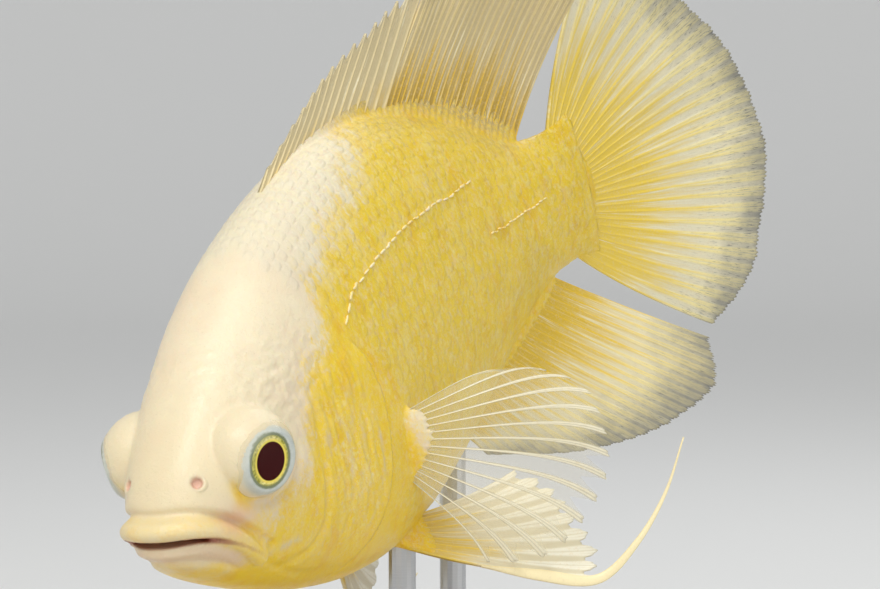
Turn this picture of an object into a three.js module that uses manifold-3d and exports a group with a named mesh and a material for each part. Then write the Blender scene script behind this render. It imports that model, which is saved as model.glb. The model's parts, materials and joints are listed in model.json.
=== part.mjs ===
// Life-size still model of an oscar, a deep-bodied cichlid, hovering nose-down on a plain display stand.
// The fish is shaped straight, in its own frame: x towards the snout, y to its left, z towards its back.
// Lengths in that frame are hundredths of the standard length, which runs from snout to tail root.
// The body is then bent sideways, scaled to millimetres, tipped and set on the stand.
import * as THREE from 'three';
import { mergeVertices } from 'three/addons/utils/BufferGeometryUtils.js';
import Module from 'manifold-3d';

const wasm = await Module();
wasm.setup();

// Driving dimensions, in millimetres and degrees.
const STANDARD_LENGTH = 180;
const GAP_MM = 0.3;
const NOSE_DOWN = 21;
const ROLL = 5.5;
const TAIL_HEADING = 18;
const SNOUT_HEIGHT = 92;
const BASE_LENGTH = 168;
const BASE_WIDTH = 100;
const BASE_THICKNESS = 12;
const BASE_CORNER = 22;
const ROD_RADIUS = 3;

// The same sizes in the fish's own unit, one hundredth of the standard length.
const UNIT = STANDARD_LENGTH / 100;
const GAP = GAP_MM / UNIT;
const BEND_START = 32;
const TAIL_ROOT = 100;
const HEAD_END = 34;
const TRUNK_END = 86;

const radians = THREE.MathUtils.degToRad;
const clamp = THREE.MathUtils.clamp;
const lerp = THREE.MathUtils.lerp;
const vec = (x, y, z) => new THREE.Vector3(x, y, z);

// A smooth curve through [position, value] pairs that never overshoots them.
function profile(pairs) {
  const x = pairs.map((p) => p[0]);
  const y = pairs.map((p) => p[1]);
  const slope = x.slice(1).map((v, i) => (y[i + 1] - y[i]) / (v - x[i]));
  const tangent = x.map((_, i) => {
    if (i === 0) return slope[0];
    if (i === x.length - 1) return slope[i - 1];
    const [before, after] = [slope[i - 1], slope[i]];
    return before * after <= 0 ? 0 : (2 * before * after) / (before + after);
  });
  return (at) => {
    const v = clamp(at, x[0], x[x.length - 1]);
    let i = 0;
    while (i < x.length - 2 && v > x[i + 1]) i += 1;
    const h = x[i + 1] - x[i];
    const t = (v - x[i]) / h;
    const [t2, t3] = [t * t, t * t * t];
    return (2 * t3 - 3 * t2 + 1) * y[i] + (t3 - 2 * t2 + t) * h * tangent[i]
      + (3 * t2 - 2 * t3) * y[i + 1] + (t3 - t2) * h * tangent[i + 1];
  };
}

// Body outlines against the square root of the distance from the snout, which rounds the nose.
const rooted = (pairs) => {
  const curve = profile(pairs.map(([s, v]) => [Math.sqrt(s), v]));
  return (s) => curve(Math.sqrt(Math.max(s, 0)));
};
const backLine = rooted([[0, 0.6], [1, 2.6], [4, 6.4], [9, 10.4], [15, 14.4], [22, 18.4], [30, 22],
  [38, 24.2], [48, 25.6], [58, 25.1], [68, 22.3], [78, 17.2], [86, 12], [91, 9.8], [96, 9.2], [101, 10.2]]);
const bellyLine = rooted([[0, -0.8], [1, -3], [4, -6.2], [9, -10], [15, -14], [22, -17.8], [30, -21],
  [38, -22.6], [48, -22.8], [58, -21.6], [68, -18.6], [78, -14.2], [86, -10.8], [91, -9.4], [96, -9.2], [101, -10.4]]);
const halfWidth = rooted([[0, 0.8], [1, 3.2], [4, 5.6], [9, 7.3], [15, 8.6], [22, 9.6], [30, 10.3],
  [38, 10.4], [48, 9.8], [58, 8.6], [68, 7], [78, 5.2], [86, 3.8], [92, 2.9], [98, 1.9], [101, 1.1]]);
const widestLevel = rooted([[0, -0.2], [9, -1], [20, -2.4], [34, -4], [50, -3.4], [70, -1.4], [86, 0], [101, 0]]);
const backSquareness = rooted([[0, 2], [9, 2.5], [20, 2.5], [34, 2.1], [50, 1.9], [80, 1.8], [101, 1.9]]);
const bellySquareness = rooted([[0, 2], [9, 2.2], [22, 2], [40, 2.3], [60, 2], [80, 1.8], [101, 1.9]]);

// A point of the skin: s behind the snout, turn from 0 at the back to 1 at the belly down the left side and on to 2.
function skinPoint(s, turn, grow = 0) {
  const angle = turn * Math.PI;
  const [sine, cosine] = [Math.sin(angle), Math.cos(angle)];
  const level = widestLevel(s);
  const upper = cosine >= 0;
  const height = (upper ? backLine(s) - level : level - bellyLine(s)) + grow;
  const power = 2 / (upper ? backSquareness(s) : bellySquareness(s));
  const y = Math.sign(sine) * (halfWidth(s) + grow) * Math.abs(sine) ** power;
  const z = level + Math.sign(cosine) * height * Math.abs(cosine) ** power;
  return vec(-s, y, z);
}

// Closed surface through rings of points, with a fan at each end.
function loft(rings) {
  const count = rings[0].length;
  const positions = [];
  const index = [];
  rings.forEach((ring) => ring.forEach((p) => positions.push(p.x, p.y, p.z)));
  const centre = (ring) => ring.reduce((sum, p) => sum.add(p), vec(0, 0, 0)).divideScalar(count);
  const first = rings.length * count;
  [rings[0], rings[rings.length - 1]].forEach((ring) => {
    const c = centre(ring);
    positions.push(c.x, c.y, c.z);
  });
  for (let k = 0; k < count; k += 1) {
    const next = (k + 1) % count;
    for (let r = 0; r < rings.length - 1; r += 1) {
      const [a, b, c, d] = [r * count + k, r * count + next, (r + 1) * count + next, (r + 1) * count + k];
      index.push(a, b, c, a, c, d);
    }
    const last = (rings.length - 1) * count;
    index.push(first, next, k, first + 1, last + k, last + next);
  }
  const geometry = new THREE.BufferGeometry();
  geometry.setAttribute('position', new THREE.Float32BufferAttribute(positions, 3));
  geometry.setIndex(index);
  return geometry;
}

// Volume enclosed by a geometry, negative when its faces point in.
function signedVolume(geometry) {
  const p = geometry.getAttribute('position');
  const i = geometry.getIndex();
  const corner = (k) => vec().fromBufferAttribute(p, i.getX(k));
  let sum = 0;
  for (let k = 0; k < i.count; k += 3) sum += corner(k).dot(corner(k + 1).cross(corner(k + 2)));
  return sum / 6;
}

// A closed geometry as a solid that can be joined and cut.
function solid(geometry, matrix = null) {
  const plain = geometry.clone();
  plain.deleteAttribute('normal');
  plain.deleteAttribute('uv');
  if (matrix) plain.applyMatrix4(matrix);
  const merged = mergeVertices(plain, 1e-5);
  const triangles = Uint32Array.from(merged.getIndex().array);
  if (signedVolume(merged) < 0) {
    for (let k = 0; k < triangles.length; k += 3) {
      [triangles[k], triangles[k + 1]] = [triangles[k + 1], triangles[k]];
    }
  }
  const vertProperties = Float32Array.from(merged.getAttribute('position').array);
  return new wasm.Manifold(new wasm.Mesh({ numProp: 3, vertProperties, triVerts: triangles }));
}

// The one largest closed surface of a solid.
function largest(body) {
  const pieces = body.decompose();
  return pieces.reduce((best, piece) => (piece.volume() > best.volume() ? piece : best));
}

function geometryOf(body) {
  const mesh = body.getMesh();
  const geometry = new THREE.BufferGeometry();
  geometry.setAttribute('position', new THREE.Float32BufferAttribute(mesh.vertProperties, 3));
  geometry.setIndex(Array.from(mesh.triVerts));
  return geometry;
}

// The straight fish, bent to its left behind the head along a circular arc, and scaled to millimetres.
function bend(p) {
  const rate = radians(TAIL_HEADING) / (TAIL_ROOT - BEND_START);
  const beyond = -p.x - BEND_START;
  const heading = Math.max(0, rate * beyond);
  const x = beyond > 0 ? -BEND_START - Math.sin(heading) / rate : p.x;
  const y = beyond > 0 ? (1 - Math.cos(heading)) / rate : 0;
  return vec(x + p.y * Math.sin(heading), y + p.y * Math.cos(heading), p.z).multiplyScalar(UNIT);
}

function bent(geometry) {
  const p = geometry.getAttribute('position');
  for (let k = 0; k < p.count; k += 1) {
    const moved = bend(vec().fromBufferAttribute(p, k));
    p.setXYZ(k, moved.x, moved.y, moved.z);
  }
  geometry.computeVertexNormals();
  return geometry;
}

// Body shell, grown or shrunk evenly, with the nose moved out or in by as much.
const SECTION_POINTS = 36;
const SECTION_PLACES = [0.02, 0.35, 1.2, 2.6, 4.4, 6.6, 9.2, 12.2, 15.6, 19.2, 23, 27, 31, 35, 39.5, 44.5,
  50, 56, 62, 68, 74, 80, 85, 89, 92.5, 95.5, 98.5, 101];
function bodyShell(grow = 0) {
  const rings = SECTION_PLACES.map((s, i) => {
    const ring = Array.from({ length: SECTION_POINTS }, (_, k) => skinPoint(s, (2 * k) / SECTION_POINTS, grow));
    const end = i === 0 ? grow : (i === SECTION_PLACES.length - 1 ? -grow : 0);
    ring.forEach((p) => { p.x += end; });
    return ring;
  });
  return solid(loft(rings));
}

// A block with opposite corners at two points.
function block(low, high) {
  const size = high.clone().sub(low);
  const middle = low.clone().add(high).multiplyScalar(0.5);
  const place = new THREE.Matrix4().makeTranslation(middle.x, middle.y, middle.z);
  return solid(new THREE.BoxGeometry(size.x, size.y, size.z), place);
}

const FAR = 60;
const slice = (from, to) => block(vec(-to, -FAR, -FAR), vec(-from, FAR, FAR));

// A ball, squashed or stretched along its own axes.
function ball(centre, radii, across, down, turn) {
  const place = new THREE.Matrix4().compose(centre, turn, radii);
  return solid(new THREE.SphereGeometry(1, across, down), place);
}

// Tube along a path of points, with an oval section that may change size on the way.
function sweep(path, radiusAcross, radiusUp, sides = 10, up = vec(0, 0, 1)) {
  const rings = path.map((p, i) => {
    const before = path[Math.max(0, i - 1)];
    const after = path[Math.min(path.length - 1, i + 1)];
    const along = after.clone().sub(before).normalize();
    const across = along.clone().cross(up).normalize();
    const over = across.clone().cross(along).normalize();
    const t = i / (path.length - 1);
    return Array.from({ length: sides }, (_, k) => {
      const angle = (2 * Math.PI * k) / sides;
      return p.clone().addScaledVector(across, radiusAcross(t) * Math.cos(angle))
        .addScaledVector(over, radiusUp(t) * Math.sin(angle));
    });
  });
  return solid(loft(rings));
}

const steps = (count) => Array.from({ length: count }, (_, k) => k / (count - 1));

// Mouth. Each lip follows a U seen from above, and drops to the corners of the mouth.
const MOUTH_DEPTH = 9.2;
const MOUTH_HALF_WIDTH = 6.1;
function lipPath(frontLevel, cornerLevel, forward, side, count = 17) {
  return steps(count).map((t) => {
    const turn = lerp(-1, 1, t) * Math.PI * 0.5;
    const back = 1 - Math.cos(turn);
    const x = forward - MOUTH_DEPTH * back ** 1.15;
    const z = lerp(frontLevel, cornerLevel, back ** 1.5);
    return vec(x, (MOUTH_HALF_WIDTH + side) * Math.sin(turn), z);
  });
}
const lipTaper = (middle, corner) => (t) => lerp(middle, corner, Math.abs(2 * t - 1) ** 3);
const upperLipSolid = sweep(lipPath(1.1, -4.5, -0.5, 0), lipTaper(1.15, 0.55), lipTaper(1.35, 0.9));
const lowerLipSolid = sweep(lipPath(-1.9, -6.2, -1, -0.3), lipTaper(1.1, 0.55), lipTaper(1.1, 0.7));
const mouthLine = sweep(lipPath(-0.45, -5.4, -1.2, 0.2), lipTaper(1.6, 0.8), lipTaper(0.32, 0.25), 8);

// Eyes. Each eyeball bulges out of a raised ring of skin, and its window looks outwards and a little forwards.
const EYE_CENTRE = vec(-11.8, 6.3, 4.5);
const EYE_RADIUS = 4.8;
const ORBIT_RADIUS = 5.1;
const ORBIT_SET_BACK = 0.5;
const CORNEA_RADIUS = 3.8;
const GAZE = vec(0.36, 0.92, -0.12).normalize();
const mirrored = (v, side) => vec(v.x, v.y * side, v.z);
function eyeball(side, grow = 0) {
  const turn = new THREE.Quaternion().setFromUnitVectors(vec(0, 1, 0), mirrored(GAZE, side));
  const radius = EYE_RADIUS + grow;
  const window = CORNEA_RADIUS + grow;
  const globe = ball(mirrored(EYE_CENTRE, side), vec(radius, radius, radius), 20, 12, turn);
  const windowCentre = mirrored(EYE_CENTRE.clone().addScaledVector(GAZE, EYE_RADIUS * 0.27), side);
  return globe.add(ball(windowCentre, vec(window, window, window), 20, 10, turn));
}
function orbit(side) {
  const turn = new THREE.Quaternion().setFromUnitVectors(vec(0, 1, 0), mirrored(GAZE, side));
  const centre = mirrored(EYE_CENTRE.clone().addScaledVector(GAZE, -ORBIT_SET_BACK), side);
  return ball(centre, vec(ORBIT_RADIUS, ORBIT_RADIUS, ORBIT_RADIUS), 22, 14, turn);
}

// Nostrils: one low rim with a pit on each side of the snout.
const NOSTRIL = vec(-4.6, 4.1, 4.7);
function nostrilAxis(side) {
  return mirrored(vec(0.62, 0.52, 0.58).normalize(), side);
}
function cone(centre, axis, radiusIn, radiusOut, length) {
  const turn = new THREE.Quaternion().setFromUnitVectors(vec(0, 1, 0), axis);
  const place = new THREE.Matrix4().compose(centre, turn, vec(1, 1, 1));
  return solid(new THREE.CylinderGeometry(radiusOut, radiusIn, length, 14), place);
}
const nostrilRim = (side) => cone(mirrored(NOSTRIL, side), nostrilAxis(side), 1.4, 0.75, 1.3);
const nostrilPit = (side) => cone(mirrored(NOSTRIL, side), nostrilAxis(side), 0.35, 0.5, 2.4);

// Gill covers. The outline is drawn in side view, as distance behind the snout and height.
const COVER_OUTLINE = [[20.5, 7.5], [25.5, 10], [30.5, 9.4], [33.8, 5.6], [35, 0], [34.6, -6], [32, -12],
  [27.8, -16.6], [22.5, -18.6], [19.6, -15], [18.6, -8], [19, 0]];
const COVER_RAISED = 0.45;
const COVER_THICKNESS = 1.5;
const COVER_FROM_MIDDLE = 2.5;
function coverPrism(side, grow = 0) {
  const middle = vec(27.5, -4, 0);
  const points = COVER_OUTLINE.map(([s, z]) => {
    const out = vec(s, z, 0).sub(middle);
    return out.setLength(out.length() + grow).add(middle);
  });
  const curve = new THREE.CatmullRomCurve3(points, true).getPoints(34);
  const shape = new THREE.Shape(curve.slice(0, -1).map((p) => new THREE.Vector2(-p.x, p.y)));
  const flat = new THREE.ExtrudeGeometry(shape, { depth: FAR, bevelEnabled: false, steps: 1 });
  const inner = COVER_FROM_MIDDLE - grow;
  const upright = new THREE.Matrix4().makeRotationX(Math.PI / 2);
  const place = new THREE.Matrix4().makeTranslation(0, side > 0 ? inner + FAR : -inner, 0);
  return solid(flat, place.multiply(upright));
}

// The whole body is made once and parted by thin cuts.
const shell = bodyShell();
const grownShell = bodyShell(GAP);
const orbits = orbit(1).add(orbit(-1));
const coverBed = bodyShell(-COVER_THICKNESS - GAP);
const covers = {};
let core = shell.add(orbits).add(nostrilRim(1)).add(nostrilRim(-1));
for (const [name, side] of [['left', 1], ['right', -1]]) {
  covers[name] = bodyShell(COVER_RAISED).intersect(coverPrism(side)).subtract(bodyShell(-COVER_THICKNESS));
  core = core.subtract(coverPrism(side, GAP).subtract(coverBed));
}
const head = core.intersect(slice(-10, HEAD_END - GAP / 2))
  .subtract(eyeball(1, GAP)).subtract(eyeball(-1, GAP))
  .subtract(nostrilPit(1)).subtract(nostrilPit(-1)).subtract(mouthLine);
const trunk = core.intersect(slice(HEAD_END + GAP / 2, TRUNK_END - GAP / 2));
const tailStalk = core.intersect(slice(TRUNK_END + GAP / 2, FAR * 2));
const headGrown = grownShell.add(mouthLine);
const upperLip = upperLipSolid.subtract(headGrown);
const lowerLip = lowerLipSolid.subtract(headGrown).subtract(
  sweep(lipPath(1.1, -4.5, -0.5, 0), (t) => lipTaper(1.15, 0.55)(t) + GAP, (t) => lipTaper(1.35, 0.9)(t) + GAP),
);

// Fins. A fin is a thin sheet spanned by rays, each a curve from its root to its tip. Every ray is a ridge
// on both faces, and the sheet between two rays is thinner and ends a little short of their tips.
function finSheet({ rays, normal, rayThickness, webThickness, rows = 7, notch = 0.06 }) {
  const columns = [];
  rays.forEach((ray, i) => {
    columns.push({ at: ray, thickness: rayThickness, reach: 1 });
    if (i === rays.length - 1) return;
    const next = rays[i + 1];
    const web = (u) => ray(u).add(next(u)).multiplyScalar(0.5);
    columns.push({ at: web, thickness: webThickness, reach: 1 - notch });
  });
  const grid = columns.map(({ at, thickness, reach }) => steps(rows).map((u) => {
    const middle = at(u * reach);
    const half = thickness(u) / 2;
    return [middle.clone().addScaledVector(normal, half), middle.addScaledVector(normal, -half)];
  }));
  const positions = [];
  const number = (c, r, face) => (c * rows + r) * 2 + face;
  grid.forEach((column) => column.forEach((pair) => pair.forEach((p) => positions.push(p.x, p.y, p.z))));
  const index = [];
  const quad = (a, b, c, d) => index.push(a, b, c, a, c, d);
  const last = grid.length - 1;
  for (let c = 0; c < last; c += 1) {
    for (let r = 0; r < rows - 1; r += 1) {
      quad(number(c, r, 0), number(c, r + 1, 0), number(c + 1, r + 1, 0), number(c + 1, r, 0));
      quad(number(c + 1, r, 1), number(c + 1, r + 1, 1), number(c, r + 1, 1), number(c, r, 1));
    }
    quad(number(c, 0, 1), number(c, 0, 0), number(c + 1, 0, 0), number(c + 1, 0, 1));
    quad(number(c, rows - 1, 0), number(c, rows - 1, 1), number(c + 1, rows - 1, 1), number(c + 1, rows - 1, 0));
  }
  for (let r = 0; r < rows - 1; r += 1) {
    quad(number(0, r, 1), number(0, r + 1, 1), number(0, r + 1, 0), number(0, r, 0));
    quad(number(last, r, 0), number(last, r + 1, 0), number(last, r + 1, 1), number(last, r, 1));
  }
  const geometry = new THREE.BufferGeometry();
  geometry.setAttribute('position', new THREE.Float32BufferAttribute(positions, 3));
  geometry.setIndex(index);
  return solid(geometry);
}

// A ray of a fin on the midline: it leaves the body at (s, z), at an angle above or below the way to the tail,
// curls as it goes and leans sideways. Its first part is sunk in the body.
function midlineRay({ s, z, length, angle, curl, lean, side = 1 }) {
  return (u) => {
    const run = (length + SINK) * u - SINK;
    const part = run / length;
    const turn = radians(angle + curl * part) * side;
    return vec(-s - run * Math.cos(turn), lean * run * Math.max(part, 0), z + run * Math.sin(turn));
  };
}
const tapered = (root, tip) => (u) => lerp(root, tip, u);
const thin = (mm) => mm / UNIT;
const SIDEWAYS = vec(0, 1, 0);
const SINK = 2.4;

const DORSAL_START = 38;
const DORSAL_SPLIT = 66;
const DORSAL_END = 89.5;
const dorsalLength = profile([[38, 3.6], [42, 7], [50, 11], [58, 14], [66, 18], [74, 23.5], [80, 27], [85, 27],
  [89.5, 21]]);
const dorsalAngle = profile([[38, 24], [50, 30], [58, 35], [66, 40], [80, 47], [89.5, 55]]);
const dorsalLean = profile([[38, 0], [60, 0.06], [75, 0.26], [89.5, 0.32]]);
function dorsalRay(s) {
  return midlineRay({ s, z: backLine(s), length: dorsalLength(s), angle: dorsalAngle(s), curl: 6,
    lean: dorsalLean(s) });
}
const spread = (count, from, to) => steps(count).map((t) => lerp(from, to, t));

const SPINE_COUNT = 13;
const DORSAL_RAY_COUNT = 19;
const dorsalSpines = finSheet({
  rays: spread(SPINE_COUNT, DORSAL_START, DORSAL_SPLIT - 0.4).map(dorsalRay),
  normal: SIDEWAYS, rayThickness: tapered(thin(1.6), thin(0.8)), webThickness: tapered(thin(1.1), thin(0.5)),
  rows: 5, notch: 0.22,
}).subtract(grownShell);
const dorsalRays = finSheet({
  rays: spread(DORSAL_RAY_COUNT, DORSAL_SPLIT + 0.4, DORSAL_END).map(dorsalRay),
  normal: SIDEWAYS, rayThickness: tapered(thin(2.4), thin(0.8)), webThickness: tapered(thin(1.8), thin(0.5)),
  rows: 7, notch: 0.03,
}).subtract(grownShell);

const ANAL_START = 65;
const ANAL_END = 90.5;
const ANAL_RAY_COUNT = 19;
const analLength = profile([[65, 6], [68, 11], [73, 20], [79, 27], [85, 30], [90.5, 25]]);
const analAngle = profile([[65, 56], [74, 50], [82, 45], [90.5, 40]]);
const analLean = profile([[65, 0.05], [78, 0.3], [90.5, 0.38]]);
const analRays = finSheet({
  rays: spread(ANAL_RAY_COUNT, ANAL_START, ANAL_END).map((s) => midlineRay({ s, z: bellyLine(s),
    length: analLength(s), angle: analAngle(s), curl: 2, lean: analLean(s), side: -1 })),
  normal: SIDEWAYS, rayThickness: tapered(thin(2.4), thin(0.8)), webThickness: tapered(thin(1.8), thin(0.5)),
  rows: 7, notch: 0.04,
}).subtract(grownShell);

const TAIL_RAY_COUNT = 17;
const tailFanAngle = profile([[-1, -47], [0, -1], [1, 52]]);
const tailRayLength = profile([[-1, 25], [-0.7, 31.5], [-0.2, 33.5], [0.2, 31], [0.6, 26.5], [1, 21.5]]);
const tailFin = finSheet({
  rays: spread(TAIL_RAY_COUNT, -1, 1).map((v) => midlineRay({ s: 101 - 1.5 * v * v, z: 9.2 * v,
    length: tailRayLength(v), angle: tailFanAngle(v), curl: -4 * v, lean: 0.12 })),
  normal: SIDEWAYS, rayThickness: tapered(thin(3.2), thin(0.8)), webThickness: tapered(thin(2.6), thin(0.5)),
  rows: 8, notch: 0.03,
}).subtract(grownShell);

// A fan of rays in a plane of its own, for a paired fin. Each ray starts on a short root line.
function fanRays({ root, along, up, rootHalf, angles, length, curl, rise = 0, count }) {
  const normal = along.clone().cross(up).normalize();
  const rays = spread(count, -1, 1).map((v) => {
    const turn = radians(angles(v));
    const way = along.clone().multiplyScalar(Math.cos(turn)).addScaledVector(up, Math.sin(turn));
    const start = root.clone().addScaledVector(up, rootHalf * v).addScaledVector(way, -SINK);
    return (u) => start.clone().addScaledVector(way, (length(v) + SINK) * u)
      .addScaledVector(normal, curl * u * u).addScaledVector(up, rise * u * u);
  });
  return { rays, normal };
}

// Pectoral fins: the left one is swung out and open, the right one is folded back along the flank.
const PECTORAL_ROOT = vec(-38, 9.2, -7.6);
const PECTORAL_RAY_COUNT = 13;
const pectoralLength = profile([[-1, 15], [-0.6, 22], [0, 25.5], [0.5, 24], [0.85, 19], [1, 14]]);
function pectoralFin(side, along, up, curl) {
  const fan = fanRays({
    root: mirrored(PECTORAL_ROOT, side), along, up, rootHalf: 3.4, count: PECTORAL_RAY_COUNT,
    angles: profile([[-1, -40], [0, 0], [1, 32]]), length: pectoralLength, curl,
  });
  return finSheet({
    ...fan, rayThickness: tapered(thin(2), thin(0.7)), webThickness: tapered(thin(1.4), thin(0.5)),
    rows: 7, notch: 0.08,
  }).subtract(grownShell);
}
function fanFrame(along, up) {
  const a = along.clone().normalize();
  return [a, up.clone().addScaledVector(a, -up.dot(a)).normalize()];
}
const pectoralLeft = pectoralFin(1, ...fanFrame(vec(-0.5, 0.8, -0.3), vec(-0.2, 0.2, 0.95)), -2);
const pectoralRight = pectoralFin(-1, ...fanFrame(vec(-0.93, -0.34, -0.2), vec(-0.2, -0.1, 0.97)), -1);

// Pelvic fins: a spine and five rays, the first of which runs out into a long filament.
const PELVIC_ROOT = vec(-41, 4.6, -21.2);
const PELVIC_RAY_COUNT = 6;
const pelvicLength = profile([[-1, 24], [-0.6, 24], [0, 21], [0.6, 18], [1, 14]]);
function pelvicFin(side, along, up, curl, rise, filament) {
  const fan = fanRays({
    root: mirrored(PELVIC_ROOT, side), along, up, rootHalf: 2, count: PELVIC_RAY_COUNT,
    angles: profile([[-1, -14], [0, 2], [1, 18]]), length: pelvicLength, curl, rise,
  });
  const sheet = finSheet({
    ...fan, rayThickness: tapered(thin(2.4), thin(1)), webThickness: tapered(thin(1.6), thin(0.5)),
    rows: 7, notch: 0.05,
  });
  const lead = fan.rays[0];
  const heading = lead(1).sub(lead(0.9)).normalize();
  const start = lead(1).addScaledVector(heading, GAP);
  const curve = new THREE.CatmullRomCurve3([start, ...filament.map((p) => lead(1).add(p))]);
  const thread = sweep(curve.getPoints(16), tapered(0.42, 0.14), tapered(0.42, 0.14), 6, vec(0.6, 0.5, 0.6));
  return { fin: sheet.subtract(grownShell), filament: thread.subtract(sheet) };
}
const pelvicLeft = pelvicFin(1, ...fanFrame(vec(-0.5, 0.75, -0.4), vec(-0.6, -0.3, 0.5)), 1.5, 4,
  [vec(-4.8, 4.2, 2.9), vec(-10.3, 6.8, 7.2), vec(-15, 8.4, 12.4)]);
const pelvicRight = pelvicFin(-1, ...fanFrame(vec(-0.62, -0.3, -0.72), vec(-0.75, 0.1, 0.6)), -1.5, 2,
  [vec(-4, -1, -3), vec(-10, -2, -3.5), vec(-17, -2.5, -2)]);

// Colours and finishes of the separate pieces.
const finish = (color, roughness, metalness = 0) => new THREE.MeshStandardMaterial({ color, roughness, metalness });
const skinFinish = finish(0xe9c65a, 0.45);
const headFinish = finish(0xe8d7a6, 0.45);
const lipFinish = finish(0xe6cf8a, 0.4);
const eyeFinish = finish(0xdfe3cf, 0.15);
const finFinish = finish(0xdcc98e, 0.5);
const baseFinish = finish(0xb9b2a6, 0.5);
const rodFinish = finish(0x9a9da0, 0.3, 1);

const fish = new THREE.Group();
fish.rotation.set(radians(ROLL), radians(NOSE_DOWN), Math.PI, 'ZYX');

function addNode(parent, name, body, material, shaped = true) {
  const geometry = geometryOf(largest(body));
  const mesh = new THREE.Mesh(shaped ? bent(geometry) : geometry, material);
  mesh.name = name;
  parent.add(mesh);
  return mesh;
}
addNode(fish, 'head', head, headFinish);
addNode(fish, 'trunk', trunk, skinFinish);
addNode(fish, 'tail_stalk', tailStalk, skinFinish);
addNode(fish, 'upper_lip', upperLip, lipFinish);
addNode(fish, 'lower_lip', lowerLip, lipFinish);
addNode(fish, 'eye_left', eyeball(1), eyeFinish);
addNode(fish, 'eye_right', eyeball(-1), eyeFinish);
addNode(fish, 'gill_cover_left', covers.left, headFinish);
addNode(fish, 'gill_cover_right', covers.right, headFinish);
addNode(fish, 'dorsal_fin_spines', dorsalSpines, finFinish);
addNode(fish, 'dorsal_fin_rays', dorsalRays, finFinish);
addNode(fish, 'anal_fin', analRays, finFinish);
addNode(fish, 'tail_fin', tailFin, finFinish);
addNode(fish, 'pectoral_fin_left', pectoralLeft, finFinish);
addNode(fish, 'pectoral_fin_right', pectoralRight, finFinish);
addNode(fish, 'pelvic_fin_left', pelvicLeft.fin, finFinish);
addNode(fish, 'pelvic_fin_right', pelvicRight.fin, finFinish);
addNode(fish, 'pelvic_filament_left', pelvicLeft.filament, finFinish);
addNode(fish, 'pelvic_filament_right', pelvicRight.filament, finFinish);

// The fish's place over the stand: the snout's height, and the middle of the body over the middle of the base.
const BALANCE_PLACE = 47;
fish.updateMatrixWorld(true);
const balance = bend(vec(-BALANCE_PLACE, 0, 0)).applyMatrix4(fish.matrixWorld);
fish.position.set(-balance.x, -balance.y, SNOUT_HEIGHT);
fish.updateMatrixWorld(true);

// Display stand: a flat base with rounded corners, and two rods up to the belly.
function roundedBase() {
  const [x, y, r] = [BASE_LENGTH / 2, BASE_WIDTH / 2, BASE_CORNER];
  const bevel = 1.5;
  const shape = new THREE.Shape();
  const [ix, iy] = [x - bevel, y - bevel];
  shape.moveTo(-ix + r, -iy);
  shape.lineTo(ix - r, -iy);
  shape.absarc(ix - r, -iy + r, r, -Math.PI / 2, 0, false);
  shape.lineTo(ix, iy - r);
  shape.absarc(ix - r, iy - r, r, 0, Math.PI / 2, false);
  shape.lineTo(-ix + r, iy);
  shape.absarc(-ix + r, iy - r, r, Math.PI / 2, Math.PI, false);
  shape.lineTo(-ix, -iy + r);
  shape.absarc(-ix + r, -iy + r, r, Math.PI, Math.PI * 1.5, false);
  const flat = new THREE.ExtrudeGeometry(shape, { depth: BASE_THICKNESS - 2 * bevel, bevelEnabled: true,
    bevelThickness: bevel, bevelSize: bevel, bevelSegments: 2, curveSegments: 8 });
  return solid(flat, new THREE.Matrix4().makeTranslation(0, 0, bevel));
}

// A rod with a flared foot, standing on the base under one place of the belly, its top cut to the belly's curve.
const bodyInPlace = solid(bent(geometryOf(bodyShell(GAP))), fish.matrixWorld);
function rod(place) {
  const foot = bend(vec(-place, 0, bellyLine(place))).applyMatrix4(fish.matrixWorld);
  const bottom = BASE_THICKNESS + GAP_MM;
  const outline = [[0, bottom], [ROD_RADIUS * 2.6, bottom], [ROD_RADIUS * 2.6, bottom + 1.5],
    [ROD_RADIUS * 1.4, bottom + 3], [ROD_RADIUS, bottom + 6], [ROD_RADIUS, foot.z + 8], [0, foot.z + 8]];
  const lathe = new THREE.LatheGeometry(outline.map(([r, z]) => new THREE.Vector2(r, z)), 16);
  const place4 = new THREE.Matrix4().makeTranslation(foot.x, foot.y, 0)
    .multiply(new THREE.Matrix4().makeRotationX(Math.PI / 2));
  return solid(lathe, place4).subtract(bodyInPlace);
}

const model = new THREE.Group();
model.add(fish);
addNode(model, 'stand_base', roundedBase(), baseFinish, false);
addNode(model, 'stand_rod_front', rod(48), rodFinish, false);
addNode(model, 'stand_rod_rear', rod(62), rodFinish, false);

export default model;
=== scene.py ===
import json
import math

import bpy
import numpy as np
from mathutils import Matrix, Vector, noise

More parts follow.
